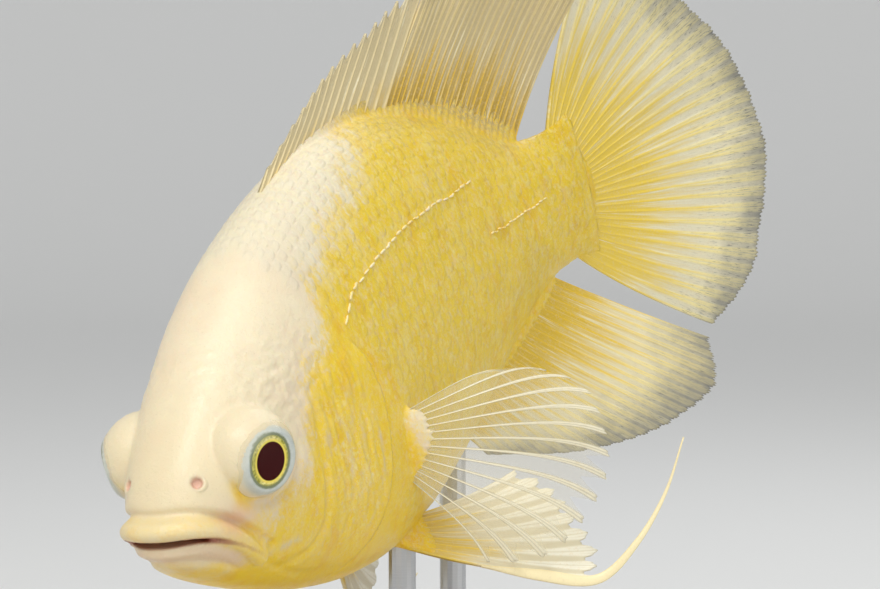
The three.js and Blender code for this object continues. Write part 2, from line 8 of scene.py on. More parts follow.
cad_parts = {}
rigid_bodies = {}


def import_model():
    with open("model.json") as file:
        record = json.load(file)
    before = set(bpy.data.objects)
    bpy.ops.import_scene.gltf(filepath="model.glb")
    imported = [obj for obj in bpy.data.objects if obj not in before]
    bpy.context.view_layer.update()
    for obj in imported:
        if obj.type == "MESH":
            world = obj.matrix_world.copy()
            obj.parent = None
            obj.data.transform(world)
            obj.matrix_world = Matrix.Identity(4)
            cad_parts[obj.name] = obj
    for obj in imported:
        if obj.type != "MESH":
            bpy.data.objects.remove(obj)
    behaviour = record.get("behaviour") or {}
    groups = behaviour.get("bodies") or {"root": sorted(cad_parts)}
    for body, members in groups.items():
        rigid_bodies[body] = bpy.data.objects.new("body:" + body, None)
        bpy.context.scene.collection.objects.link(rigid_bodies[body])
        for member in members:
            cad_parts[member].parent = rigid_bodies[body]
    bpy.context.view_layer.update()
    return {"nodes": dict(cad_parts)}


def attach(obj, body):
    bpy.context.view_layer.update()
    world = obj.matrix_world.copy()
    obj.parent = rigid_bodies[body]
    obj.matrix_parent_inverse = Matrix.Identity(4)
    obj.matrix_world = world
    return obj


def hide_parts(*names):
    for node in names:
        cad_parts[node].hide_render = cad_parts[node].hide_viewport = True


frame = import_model()

UNIT = 0.0018  # a hundredth of the length from snout to tail root, in metres
PER_MM = 0.001 / UNIT
NOSE_DOWN = 21  # angles in degrees
ROLL = 5.5
TAIL_HEADING = 18
BEND_START = 32  # where behind the snout the body starts to bend
SNOUT_HEIGHT = 0.092
BALANCE_PLACE = 47  # the place behind the snout that stands over the middle of the base
SINK = 2.4  # how far a fin's root is sunk in the flesh


# ---- Curves and body outline ----

def profile(pairs):
    """A smooth curve through (position, value) pairs that never overshoots them."""
    x = np.array([p[0] for p in pairs], float)
    y = np.array([p[1] for p in pairs], float)
    slope = np.diff(y) / np.diff(x)
    tangent = np.empty_like(y)
    tangent[0], tangent[-1] = slope[0], slope[-1]
    before, after = slope[:-1], slope[1:]
    same = before * after > 0
    tangent[1:-1] = np.where(same, 2 * before * after / np.where(same, before + after, 1), 0)

    def curve(at):
        v = np.clip(np.asarray(at, float), x[0], x[-1])
        i = np.clip(np.searchsorted(x, v, side="right") - 1, 0, len(x) - 2)
        h = x[i + 1] - x[i]
        t = (v - x[i]) / h
        t2, t3 = t * t, t * t * t
        return ((2 * t3 - 3 * t2 + 1) * y[i] + (t3 - 2 * t2 + t) * h * tangent[i]
                + (3 * t2 - 2 * t3) * y[i + 1] + (t3 - t2) * h * tangent[i + 1])

    return curve


def rooted(pairs):
    """A profile that is blunt at the snout: it runs over the square root of the distance behind it."""
    curve = profile([(math.sqrt(s), v) for s, v in pairs])
    return lambda s: curve(np.sqrt(np.maximum(s, 0)))


def smooth(low, high, v):
    t = np.clip((np.asarray(v, float) - low) / (high - low), 0, 1)
    return t * t * (3 - 2 * t)


back_line = rooted([(0, 0.6), (1, 2.6), (4, 6.4), (9, 10.4), (15, 14.4), (22, 18.4), (30, 22), (38, 24.2),
                    (48, 25.6), (58, 25.1), (68, 22.3), (78, 17.2), (86, 12), (91, 9.8), (96, 9.2), (101, 10.2)])
belly_line = rooted([(0, -0.8), (1, -3), (4, -6.2), (9, -10), (15, -14), (22, -17.8), (30, -21), (38, -22.6),
                     (48, -22.8), (58, -21.6), (68, -18.6), (78, -14.2), (86, -10.8), (91, -9.4), (96, -9.2),
                     (101, -10.4)])
half_width = rooted([(0, 0.8), (1, 3.2), (4, 5.6), (9, 7.3), (15, 8.6), (22, 9.6), (30, 10.3), (38, 10.4),
                     (48, 9.8), (58, 8.6), (68, 7), (78, 5.2), (86, 3.8), (92, 2.9), (98, 1.9), (101, 1.1)])
widest_level = rooted([(0, -0.2), (9, -1), (20, -2.4), (34, -4), (50, -3.4), (70, -1.4), (86, 0), (101, 0)])
back_squareness = rooted([(0, 2), (9, 2.5), (20, 2.5), (34, 2.1), (50, 1.9), (80, 1.8), (101, 1.9)])
belly_squareness = rooted([(0, 2), (9, 2.2), (22, 2), (40, 2.3), (60, 2), (80, 1.8), (101, 1.9)])


def skin_point(s, turn, grow=0.0):
    """The skin s behind the snout; turn is 0 at the back, 1 at the belly down the left side, and on to 2."""
    s, turn = np.broadcast_arrays(np.asarray(s, float), np.asarray(turn, float))
    sine, cosine = np.sin(turn * math.pi), np.cos(turn * math.pi)
    level = widest_level(s)
    upper = cosine >= 0
    height = np.where(upper, back_line(s) - level, level - belly_line(s)) + grow
    power = 2 / np.where(upper, back_squareness(s), belly_squareness(s))
    y = np.sign(sine) * (half_width(s) + grow) * np.abs(sine) ** power
    z = level + np.sign(cosine) * height * np.abs(cosine) ** power
    return np.stack([-s, y, z], axis=-1)


# ---- The pose ----

TURNED = (Matrix.Rotation(math.pi, 3, "Z") @ Matrix.Rotation(math.radians(NOSE_DOWN), 3, "Y")
          @ Matrix.Rotation(math.radians(ROLL), 3, "X"))
TURNED_ARRAY = np.array(TURNED)


def bend(points):
    """The straight fish, bent to its left behind the head along an arc, in metres."""
    rate = math.radians(TAIL_HEADING) / (100 - BEND_START)
    x, y, z = points[..., 0], points[..., 1], points[..., 2]
    beyond = -x - BEND_START
    heading = np.maximum(rate * beyond, 0)
    bent_x = np.where(beyond > 0, -BEND_START - np.sin(heading) / rate, x) + y * np.sin(heading)
    bent_y = np.where(beyond > 0, (1 - np.cos(heading)) / rate, 0) + y * np.cos(heading)
    return np.stack([bent_x, bent_y, z], axis=-1) * UNIT


BALANCE = TURNED_ARRAY @ bend(np.array([-BALANCE_PLACE, 0.0, 0.0]))
PLACE = np.array([-BALANCE[0], -BALANCE[1], SNOUT_HEIGHT])


def to_world(points):
    return bend(points) @ TURNED_ARRAY.T + PLACE


# ---- Mesh objects ----

def link_mesh(name, points, faces):
    """A mesh object from an array of points and an array of faces, or several of different sizes."""
    groups = faces if isinstance(faces, list) else [faces]
    mesh = bpy.data.meshes.new(name)
    mesh.vertices.add(len(points))
    mesh.vertices.foreach_set("co", np.asarray(points, np.float32).ravel())
    corners = np.concatenate([g.ravel() for g in groups]).astype(np.int32)
    sizes = np.concatenate([np.full(len(g), g.shape[1]) for g in groups])
    mesh.loops.add(len(corners))
    mesh.loops.foreach_set("vertex_index", corners)
    mesh.polygons.add(len(sizes))
    mesh.polygons.foreach_set("loop_start", np.concatenate([[0], np.cumsum(sizes)[:-1]]).astype(np.int32))
    mesh.update(calc_edges=True)
    mesh.polygons.foreach_set("use_smooth", np.full(len(sizes), True))
    thing = bpy.data.objects.new(name, mesh)
    bpy.context.scene.collection.objects.link(thing)
    return thing


def keep_values(thing, name, values):
    """A value of three numbers kept at each point of a mesh, for its material."""
    made = thing.data.attributes.new(name, "FLOAT_VECTOR", "POINT")
    made.data.foreach_set("vector", np.asarray(values, np.float32).ravel())


def dress(thing, points, marks, shade, material):
    """Keep what the skin's material reads at the points of a mesh, which are given in the straight fish."""
    keep_values(thing, "straight", points / 100)
    keep_values(thing, "marks", marks)
    keep_values(thing, "shade", shade)
    thing.data.materials.append(material)


# ---- Camera, lights and floor ----

def set_camera():
    """The photo's viewpoint, worked out from the fish's landmarks, in the fish's own frame."""
    right = Vector((-0.39053, 0.88851, -0.24090))
    up = Vector((-0.40658, 0.06830, 0.91106))
    back = right.cross(up).normalized()
    place = np.array([186.35, 142.42, 101.05]) * UNIT
    data = bpy.data.cameras.new("camera")
    data.lens = 100
    data.sensor_width = 36
    data.clip_start = 0.05
    data.clip_end = 20
    camera = bpy.data.objects.new("camera", data)
    turn = TURNED @ Matrix((right, up, back)).transposed()
    world = turn.to_4x4()
    world.translation = Vector(TURNED_ARRAY @ place + PLACE)
    camera.matrix_world = world
    bpy.context.scene.collection.objects.link(camera)
    bpy.context.scene.camera = camera
    return camera


def area_light(name, place, target, size, power, colour):
    data = bpy.data.lights.new(name, "AREA")
    data.shape = "RECTANGLE"
    data.size, data.size_y = size
    data.energy = power
    data.color = colour
    light = bpy.data.objects.new(name, data)
    light.location = place
    light.rotation_euler = (Vector(target) - Vector(place)).to_track_quat("-Z", "Y").to_euler()
    bpy.context.scene.collection.objects.link(light)


FLOOR_REACH = 9.0
SWEEP_START = 1.9
SWEEP_RADIUS = 1.6
SWEEP_STEPS = 40
WALL_TOP = 5.0
LIGHTS = [  # name, place, what it is aimed at, width and height, power, colour
    ("key", (-0.72, 0.02, 0.92), (-0.02, 0, 0.13), (0.42, 0.42), 5.4, (1.0, 0.985, 0.95)),
    ("fill", (-0.15, -1.1, 0.4), (0, 0, 0.12), (0.8, 0.8), 1.5, (1.0, 0.99, 0.97)),
    ("rim", (0.55, -0.1, 0.8), (0.04, 0, 0.13), (0.5, 0.5), 1.8, (0.96, 0.98, 1.0)),
]


def set_stage(camera):
    """A pale floor that sweeps up behind the model, and soft lights from the upper left of the view."""
    turns = [math.pi / 2 * k / SWEEP_STEPS for k in range(SWEEP_STEPS + 1)]
    run = [(SWEEP_START + SWEEP_RADIUS * math.sin(a), SWEEP_RADIUS - SWEEP_RADIUS * math.cos(a)) for a in turns]
    line = [(-FLOOR_REACH, 0.0), (SWEEP_START - 0.3, 0.0)] + run + [(SWEEP_START + SWEEP_RADIUS, WALL_TOP)]
    wide = np.linspace(-FLOOR_REACH, FLOOR_REACH, 7)
    away = Vector((-camera.matrix_world.translation.x, -camera.matrix_world.translation.y, 0)).normalized()
    side = Vector((-away.y, away.x, 0))
    points = np.array([tuple(away * d + side * w + Vector((0, 0, h))) for d, h in line for w in wide])
    count = len(wide)
    rows = np.arange(len(line) - 1)[:, None] * count + np.arange(count - 1)[None, :]
    faces = np.stack([rows, rows + count, rows + count + 1, rows + 1], axis=-1).reshape(-1, 4)
    floor = link_mesh("floor_sweep", points, faces)
    paper = bpy.data.materials.new("pale_floor")
    paper.use_nodes = True
    shader = paper.node_tree.nodes["Principled BSDF"]
    shader.inputs["Base Color"].default_value = (0.78, 0.78, 0.77, 1)
    shader.inputs["Roughness"].default_value = 0.9
    floor.data.materials.append(paper)
    for light in LIGHTS:
        area_light(*light)
    ceiling = bpy.data.lights.new("ceiling", "SUN")
    ceiling.energy = 1.0
    ceiling.angle = 1.2
    lamp = bpy.data.objects.new("ceiling", ceiling)
    lamp.rotation_euler = (away - Vector((0, 0, 1.1))).to_track_quat("-Z", "Y").to_euler()
    bpy.context.scene.collection.objects.link(lamp)
    world = bpy.data.worlds.new("studio")
    world.use_nodes = True
    world.node_tree.nodes["Background"].inputs["Color"].default_value = (0.86, 0.88, 0.9, 1)
    world.node_tree.nodes["Background"].inputs["Strength"].default_value = 0.33
    bpy.context.scene.world = world
    bpy.context.scene.view_settings.view_transform = "Standard"


# ---- Closed shapes for the flesh, in the straight fish ----

def closed_grid(rings):
    """Faces and points of a closed body through rings of points, with a fan at each end."""
    rows, count = rings.shape[:2]
    points = np.concatenate([rings.reshape(-1, 3), rings[0].mean(0)[None], rings[-1].mean(0)[None]])
    a = np.arange(rows - 1)[:, None] * count + np.arange(count)[None, :]
    b = np.arange(rows - 1)[:, None] * count + (np.arange(count)[None, :] + 1) % count
    sides = np.stack([a, b, b + count, a + count], axis=-1).reshape(-1, 4)
    k = np.arange(count)
    nxt = (k + 1) % count
    top = rows * count
    last = (rows - 1) * count
    fan_a = np.stack([np.full(count, top), nxt, k], axis=-1)
    fan_b = np.stack([np.full(count, top + 1), last + k, last + nxt], axis=-1)
    groups = [sides, np.concatenate([fan_a, fan_b])]
    volume = 0.0
    for g in groups:
        for m in range(1, g.shape[1] - 1):
            volume += (points[g[:, 0]] * np.cross(points[g[:, m]], points[g[:, m + 1]])).sum()
    return points, groups if volume > 0 else [g[:, ::-1] for g in groups]


def ball(centre, radius, rows=24, count=36):
    down = np.linspace(0.02, math.pi - 0.02, rows)[:, None]
    round_ = np.linspace(0, 2 * math.pi, count, endpoint=False)[None, :]
    rings = np.stack([np.sin(down) * np.cos(round_), np.sin(down) * np.sin(round_),
                      np.cos(down) + 0 * round_], axis=-1)
    return closed_grid(np.asarray(centre) + np.asarray(radius) * rings)


def tube(path, across, over, count=16, up=(0, 0, 1)):
    """A tube of oval section along a path of points. across and over give its half sizes along the way."""
    path = np.asarray(path, float)
    along = np.gradient(path, axis=0)
    along /= np.linalg.norm(along, axis=1, keepdims=True)
    side = np.cross(along, np.asarray(up, float))
    side /= np.linalg.norm(side, axis=1, keepdims=True)
    rise = np.cross(side, along)
    t = np.linspace(0, 1, len(path))
    turn = np.linspace(0, 2 * math.pi, count, endpoint=False)
    wide = np.broadcast_to(across(t), t.shape)[:, None, None]
    high = np.broadcast_to(over(t), t.shape)[:, None, None]
    rings = (path[:, None, :] + wide * np.cos(turn)[None, :, None] * side[:, None, :]
             + high * np.sin(turn)[None, :, None] * rise[:, None, :])
    return closed_grid(rings)


def spline(points, count):
    """A smooth path through a few points."""
    points = np.asarray(points, float)
    at = np.concatenate([[0], np.cumsum(np.linalg.norm(np.diff(points, axis=0), axis=1))])
    curves = [profile(list(zip(at, points[:, k]))) for k in range(points.shape[1])]
    t = np.linspace(0, at[-1], count)
    return np.stack([c(t) for c in curves], axis=-1)


MOUTH_DEPTH = 8.6
MOUTH_HALF_WIDTH = 6.1


def lip_path(front_level, corner_level, forward, side, reach=1.0, count=81):
    """The U of a lip seen from above, which drops to the corners of the mouth."""
    turn = np.linspace(-1, 1, count) * math.pi / 2 * reach
    back = 1 - np.cos(turn)
    return np.stack([forward - MOUTH_DEPTH * back ** 1.15, (MOUTH_HALF_WIDTH + side) * np.sin(turn),
                     front_level + (corner_level - front_level) * back ** 1.7], axis=-1)


SLIT = lip_path(0.05, -7.6, -1.1, 0.2, 0.94, 321)
UPPER_LIP = lip_path(1.4, -6.5, -0.5, 0.1)
LOWER_LIP = lip_path(-1.25, -7.7, -1.0, -1.0)


def slit_height(t):
    """Open in the middle of the mouth, and only a crease towards its corners."""
    return 0.19 + 0.26 * np.clip(1 - (np.abs(2 * t - 1) / 0.66) ** 2, 0, 1)


def constant(size):
    return lambda t: size + 0 * t


def lip_taper(middle, corner):
    return lambda t: middle + (corner - middle) * np.abs(2 * t - 1) ** 3


EYE_CENTRE = np.array([-11.6, 6.75, 4.45])
EYE_RADIUS = 4.8
CORNEA_RADIUS = 3.8
CORNEA_OFFSET = 0.27 * EYE_RADIUS
ORBIT_RADIUS = 5.1
ORBIT_SET_BACK = 0.5
ORBIT_OPENING = 3.5
GAZE = np.array([0.36, 0.92, -0.12]) / np.linalg.norm([0.36, 0.92, -0.12])
NOSTRIL = np.array([-4.6, 4.1, 4.7])
NOSTRIL_AXIS = np.array([0.62, 0.52, 0.58]) / np.linalg.norm([0.62, 0.52, 0.58])


def mirrored(v, side):
    return np.asarray(v, float) * np.array([1.0, side, 1.0])


# ---- Fins: mid-surfaces shared by the fins and the flesh at their roots ----

# Lengths, angles in degrees and sideways leans of the rays, by the place of their root.
dorsal_length = profile([(38, 3.6), (42, 7), (50, 11), (58, 14), (66, 18), (74, 23.5), (80, 27), (85, 27),
                         (89.5, 21)])
dorsal_angle = profile([(38, 24), (50, 30), (58, 35), (66, 40), (80, 45), (89.5, 46)])
dorsal_lean = profile([(38, 0), (60, 0.06), (75, 0.26), (89.5, 0.32)])
anal_length = profile([(65, 6), (68, 11), (73, 20), (79, 27), (85, 30), (90.5, 25)])
anal_angle = profile([(65, 56), (74, 50), (82, 45), (90.5, 40)])
anal_lean = profile([(65, 0.05), (78, 0.3), (90.5, 0.38)])
tail_angle = profile([(-1, -47), (0, -1), (0.6, 33), (1, 63)])
tail_length = profile([(-1, 28), (-0.7, 32.5), (-0.2, 33.5), (0.2, 31), (0.6, 27.5), (1, 24)])


def midline_ray(s, z, length, angle, curl, lean, side, u):
    """A point of a midline fin: u is 0 at its sunk root and 1 at its tip."""
    run = (length + SINK) * u - SINK
    part = run / length
    turn = np.radians(angle + curl * part) * side
    return np.stack([-s - run * np.cos(turn), lean * run * np.maximum(part, 0), z + run * np.sin(turn)], axis=-1)


def dorsal_at(s, u):
    return midline_ray(s, back_line(s), dorsal_length(s), dorsal_angle(s), 6, dorsal_lean(s), 1, u)


def anal_at(s, u):
    return midline_ray(s, belly_line(s), anal_length(s), anal_angle(s), 2, anal_lean(s), -1, u)


def tail_at(v, u):
    return midline_ray(101 - 4.5 * v * v, 9.2 * v, tail_length(v), tail_angle(v), -4 * v, 0.12, 1, u)


def fan_frame(along, up):
    along = np.asarray(along, float) / np.linalg.norm(along)
    up = np.asarray(up, float) - along * np.dot(up, along)
    return along, up / np.linalg.norm(up)


def fan_at(root, along, up, root_half, angles, length, curl, rise, droop=0.0):
    """A fan of rays in a plane of its own, for a paired fin. v runs from -1 to 1 across it."""
    normal = np.cross(along, up)
    normal /= np.linalg.norm(normal)

    def at(v, u):
        v, u = np.broadcast_arrays(np.asarray(v, float), np.asarray(u, float))
        turn = np.radians(angles(v))[..., None]
        way = along * np.cos(turn) + up * np.sin(turn)
        start = root + up * root_half * v[..., None] - way * SINK
        reach = ((length(v) + SINK) * u)[..., None]
        lift = (rise * u * u - droop * u ** 6)[..., None]
        return start + way * reach + normal * (curl * u * u)[..., None] + up * lift

    return at


PECTORAL_ROOT = np.array([-38, 9.2, -7.6])
PELVIC_ROOT = np.array([-41, 4.6, -21.2])
pectoral_length = profile([(-1, 15), (-0.6, 22), (0, 25.5), (0.5, 24), (0.85, 19), (1, 14)])
pectoral_angles = profile([(-1, -40), (0, 0), (1, 32)])
pelvic_length = profile([(-1, 24), (-0.6, 24), (0, 21), (0.6, 18), (1, 14)])
pelvic_angles = profile([(-1, -14), (0, 2), (1, 18)])
PECTORAL_LEFT = fan_frame((-0.5, 0.8, -0.3), (-0.2, 0.2, 0.95))
PECTORAL_RIGHT = fan_frame((-0.93, -0.34, -0.2), (-0.2, -0.1, 0.97))
PELVIC_LEFT = fan_frame((-0.5, 0.75, -0.4), (-0.6, -0.3, 0.5))
PELVIC_RIGHT = fan_frame((-0.62, -0.3, -0.72), (-0.75, 0.1, 0.6))
pectoral_left = fan_at(PECTORAL_ROOT, *PECTORAL_LEFT, 3.4, pectoral_angles, pectoral_length, -2, 0, 2.4)
pectoral_right = fan_at(mirrored(PECTORAL_ROOT, -1), *PECTORAL_RIGHT, 3.4, pectoral_angles, pectoral_length, -1, 0, 1.5)
pelvic_left = fan_at(PELVIC_ROOT, *PELVIC_LEFT, 2, pelvic_angles, pelvic_length, 1.5, 4)
pelvic_right = fan_at(mirrored(PELVIC_ROOT, -1), *PELVIC_RIGHT, 2, pelvic_angles, pelvic_length, -1.5, 2)


def sheet_normals(points):
    """Unit normals of a grid of points."""
    across = np.gradient(points, axis=0)
    along = np.gradient(points, axis=1)
    normal = np.cross(across, along)
    return normal / np.maximum(np.linalg.norm(normal, axis=-1, keepdims=True), 1e-9)


def sheath(at, first, last, reach, root, tip, columns, rays):
    """The flesh that wraps the root of a fin: a wedge that thins out, and runs further along each ray."""
    v, share = np.meshgrid(np.linspace(first, last, columns), np.linspace(0, 1, 12), indexing="ij")
    finger = 1 - 0.3 * np.sin(math.pi * rays * (v - first) / (last - first)) ** 2 if rays else 1.0
    mid = at(v, share * reach * finger)
    normal = sheet_normals(mid)
    edge = np.sin(np.pi * (v - first) / (last - first)) ** 0.35
    half = ((root + (tip - root) * share) * (0.35 + 0.65 * edge) / 2)[..., None]
    rings = np.concatenate([mid + normal * half, (mid - normal * half)[:, ::-1]], axis=1)
    return closed_grid(rings)


# ---- The skin ----

# The gill cover's edge in side view (distance behind the snout, height).
COVER_OUTLINE = [(20.5, 7.5), (25.5, 10), (30.5, 9.4), (33.8, 5.6), (34.6, 0), (33.4, -6), (31.2, -11),
                 (28, -14.4), (24.6, -16.4), (20.5, -17.4), (17, -14), (17.6, -8), (18.6, 0)]
CREASES = [  # path in side view (distance behind the snout, height), depth, width
    ([(3.2, 1.6), (5.6, -0.1), (7.2, -2.0), (8.7, -4.6), (9.2, -6.0)], 0.28, 0.55),
    ([(9.4, -0.2), (11.4, -1.1), (14, -1.3), (16.6, 0.2), (17.8, 2.8)], 0.30, 0.5),
    ([(8.3, 5.2), (7.6, 2.8), (8.2, 0.8), (9.4, -0.2)], 0.14, 0.7),
    ([(23, 6.5), (21.4, 2), (20.8, -2.7), (19.9, -6), (18.6, -8.7), (15.6, -10), (12, -9.2)], 0.22, 0.6),
    ([(26.5, 6), (25.2, 0), (25, -5), (23.6, -9.8), (21, -13)], 0.13, 0.5),
    ([(9.0, -6.6), (12, -9.4), (16, -12.4), (20, -14.6)], 0.12, 0.5),
    ([(29.5, 5), (29.6, -1), (28.2, -7), (26.5, -11)], 0.08, 0.4),
]
FOLDS = [  # pale grey lines of the cheek and gill cover in side view, and their width
    ([(9.2, -6.3), (12, -6.9), (15, -7.4), (17.5, -8.6)], 0.5),
    ([(21.5, 5.5), (22.9, 2.4), (22.3, -0.6), (20.8, -2.7), (19.9, -6), (18.2, -9.6)], 0.55),
    ([(25, 3), (26, -1), (25.2, -5), (24.4, -8)], 0.35),
    ([(28.2, 4), (28.8, 0), (28.0, -4.5), (26.4, -9.5)], 0.35),
    ([(31.4, 2), (31.6, -3), (30.2, -9), (26, -13.4)], 0.3),
]


def path_distance(path, s, z):
    """Distance from each (s, z) to a line of points, and how far along the line its nearest point is."""
    best, share = np.full(s.shape, 1e9), np.zeros(s.shape)
    for k, ((s0, z0), (s1, z1)) in enumerate(zip(path[:-1], path[1:])):
        ds, dz = s1 - s0, z1 - z0
        t = np.clip(((s - s0) * ds + (z - z0) * dz) / (ds * ds + dz * dz + 1e-12), 0, 1)
        away = np.hypot(s - s0 - t * ds, z - z0 - t * dz)
        share = np.where(away < best, (k + t) / (len(path) - 1), share)
        best = np.minimum(best, away)
    return best, share


def line_mark(path, width, s, z):
    """1 on a line and 0 away from it, fading towards both of its ends."""
    away, share = path_distance(spline(path, 26), s, z)
    return np.exp(-(away / width) ** 2) * np.sin(math.pi * np.clip(share, 0.02, 0.98)) ** 0.6


def closed_spline(points, count):
    points = list(points)
    looped = points[-3:] + points + points[:3]
    many = spline(looped, count * 2)
    start = np.argmin(np.hypot(*(many - points[0]).T) + (np.arange(len(many)) > len(many) / 2) * 99)
    end = np.argmin(np.hypot(*(many - points[0]).T) + (np.arange(len(many)) < len(many) / 2) * 99)
    return many[start:end + 1]


COVER_PATH = closed_spline(COVER_OUTLINE, 90)


def inside_cover(s, z):
    inside = np.zeros(s.shape, bool)
    for (s0, z0), (s1, z1) in zip(COVER_PATH[:-1], COVER_PATH[1:]):
        crosses = (z0 > z) != (z1 > z)
        at = s0 + (z - z0) * (s1 - s0) / (z1 - z0 if z1 != z0 else 1e-9)
        inside ^= crosses & (s < at)
    return inside


def lip_gap(points, path):
    """Distance from each point to the middle of a lip, and how far above that middle it is."""
    square = ((points[:, None] - path[None]) ** 2).sum(-1)
    nearest = square.argmin(1)
    return np.sqrt(square.min(1)), points[:, 2] - path[nearest, 2]


ROUGH_SPOTS = [  # wrinkled skin behind the eye, on the cheek and over the gill cover: place, size, amount
    ((19, 9.5), (7, 4.5), 1.1), ((15, -6), (6, 5), 0.45), ((29, 8), (5, 7), 0.3)]


def relief(points):
    """How far the skin rises or sinks along its normal: gill cover edge, creases and folds of the head."""
    s, y, z = -points[:, 0], np.abs(points[:, 1]), points[:, 2]
    height = np.zeros(len(points))
    near = (s < 42) & (y > 1.6)
    sn, zn = s[near], z[near]
    distance = path_distance(COVER_PATH, sn, zn)[0]
    inside = inside_cover(sn, zn)
    rear = smooth(22, 29, sn) * smooth(8.5, 4, zn)
    cover = np.where(inside, 0.55 * np.exp(-distance / 5), -0.55 * np.exp(-(distance / 0.75) ** 2)) * rear
    for path, depth, width in CREASES:
        cover -= 2.1 * depth * line_mark(path, width, sn, zn)
        cover += 0.8 * depth * line_mark(path, 2.2 * width, sn, zn)
    height[near] += cover * smooth(1.6, 3, y[near])
    mouth = np.flatnonzero((s < 12) & (z > -12) & (z < 6))
    gap, above = lip_gap(points[mouth], UPPER_LIP[::2])
    height[mouth] -= 0.45 * np.exp(-((gap - 1.75) / 0.42) ** 2) * smooth(0.1, 0.9, above)
    gap, above = lip_gap(points[mouth], LOWER_LIP[::2])
    height[mouth] -= 0.35 * np.exp(-((gap - 1.45) / 0.4) ** 2) * smooth(0.0, -0.7, above) * smooth(8, 5, s[mouth])
    rough = sum(amount * spot(s, z, at, size) for at, size, amount in ROUGH_SPOTS)
    wrinkled = np.flatnonzero(rough > 0.02)
    grain = np.array([noise.noise(Vector(p)) + 0.6 * noise.noise(Vector(p) * 2.1)
                      for p in points[wrinkled] * np.array([0.75, 0.6, 1.0])])
    height[wrinkled] += 0.17 * rough[wrinkled] * grain
    folded = smooth(17.5, 20, s) * smooth(33, 30, s) * smooth(9, 5, z) * smooth(-14, -10, z)
    wrinkled = np.flatnonzero(folded > 0.02)
    grain = np.array([noise.noise(Vector(p)) for p in points[wrinkled] * np.array([1.25, 0.5, 0.34]) + 20])
    height[wrinkled] += 0.24 * folded[wrinkled] * grain
    return height


def join_shapes(shapes):
    points, quads, fans, start = [], [], [], 0
    for p, (sides, ends) in shapes:
        points.append(p)
        quads.append(sides + start)
        fans.append(ends + start)
        start += len(p)
    return np.concatenate(points), [np.concatenate(quads), np.concatenate(fans)]


def mesh_arrays(thing):
    """Points and faces of an object with its modifiers."""
    evaluated = thing.evaluated_get(bpy.context.evaluated_depsgraph_get())
    mesh = evaluated.to_mesh()
    points = np.empty(len(mesh.vertices) * 3)
    mesh.vertices.foreach_get("co", points)
    starts = np.empty(len(mesh.polygons), int)
    sizes = np.empty(len(mesh.polygons), int)
    corners = np.empty(len(mesh.loops), int)
    mesh.polygons.foreach_get("loop_start", starts)
    mesh.polygons.foreach_get("loop_total", sizes)
    mesh.loops.foreach_get("vertex_index", corners)
    groups = [corners[starts[sizes == n][:, None] + np.arange(n)] for n in np.unique(sizes)]
    evaluated.to_mesh_clear()
    return points.reshape(-1, 3), groups


def remeshed(thing, size):
    modifier = thing.modifiers.new("fuse", "REMESH")
    modifier.mode = "VOXEL"
    modifier.voxel_size = size
    result = mesh_arrays(thing)
    bpy.data.objects.remove(thing, do_unlink=True)
    return result


def eased(points, groups, rounds, strength, share=1.0):
    """Points moved towards the middle of their neighbours, so that joins run into one another."""
    edges = np.concatenate([np.stack([g[:, k], g[:, (k + 1) % g.shape[1]]], axis=-1)
                            for g in groups for k in range(g.shape[1])])
    edges = np.unique(np.sort(edges, axis=1), axis=0)
    count = np.bincount(edges.ravel(), minlength=len(points)).astype(float)
    for k in range(rounds):
        total = np.zeros_like(points)
        for axis in range(3):
            total[:, axis] = (np.bincount(edges[:, 0], points[edges[:, 1], axis], len(points))
                              + np.bincount(edges[:, 1], points[edges[:, 0], axis], len(points)))
        move = (total / np.maximum(count, 1)[:, None] - points) * strength * (1 if k % 2 == 0 else -1.04)
        points = points + move * np.reshape(share, (-1, 1))
    return points


def point_normals(points, groups):
    normals = np.zeros_like(points)
    for g in groups:
        face = np.cross(points[g[:, 2]] - points[g[:, 0]], points[g[:, -1]] - points[g[:, 1]])
        for k in range(g.shape[1]):
            for axis in range(3):
                normals[:, axis] += np.bincount(g[:, k], face[:, axis], len(points))
    return normals / np.maximum(np.linalg.norm(normals, axis=1, keepdims=True), 1e-12)


FIN_ROOTS = [  # sheet, its first and last place, reach, thickness at the root and at its edge, columns, rays
    (dorsal_at, 58, 89.8, 0.22, 2.8, 0.36, 320, 29),
    (dorsal_at, 38, 62, 0.30, 2.2, 0.36, 60, 0),
    (anal_at, 66, 90.6, 0.18, 2.8, 0.36, 300, 24),
    (tail_at, -1.0, 1.0, 0.14, 3.6, 0.36, 360, 29),
    (pectoral_left, -1.05, 1.05, 0.25, 2.8, 0.34, 160, 13),
    (pectoral_right, -1.05, 1.05, 0.24, 2.8, 0.34, 160, 13),
    (pelvic_left, -1.05, 1.05, 0.25, 2.6, 0.36, 160, 13),
    (pelvic_right, -1.05, 1.05, 0.25, 2.6, 0.36, 160, 13),
]
FIRST_VOXEL = 0.00048
LAST_VOXEL = 0.00043
NOSTRIL_RADIUS = 0.62


def nostril_cone(t):
    return 1.55 - 0.75 * t


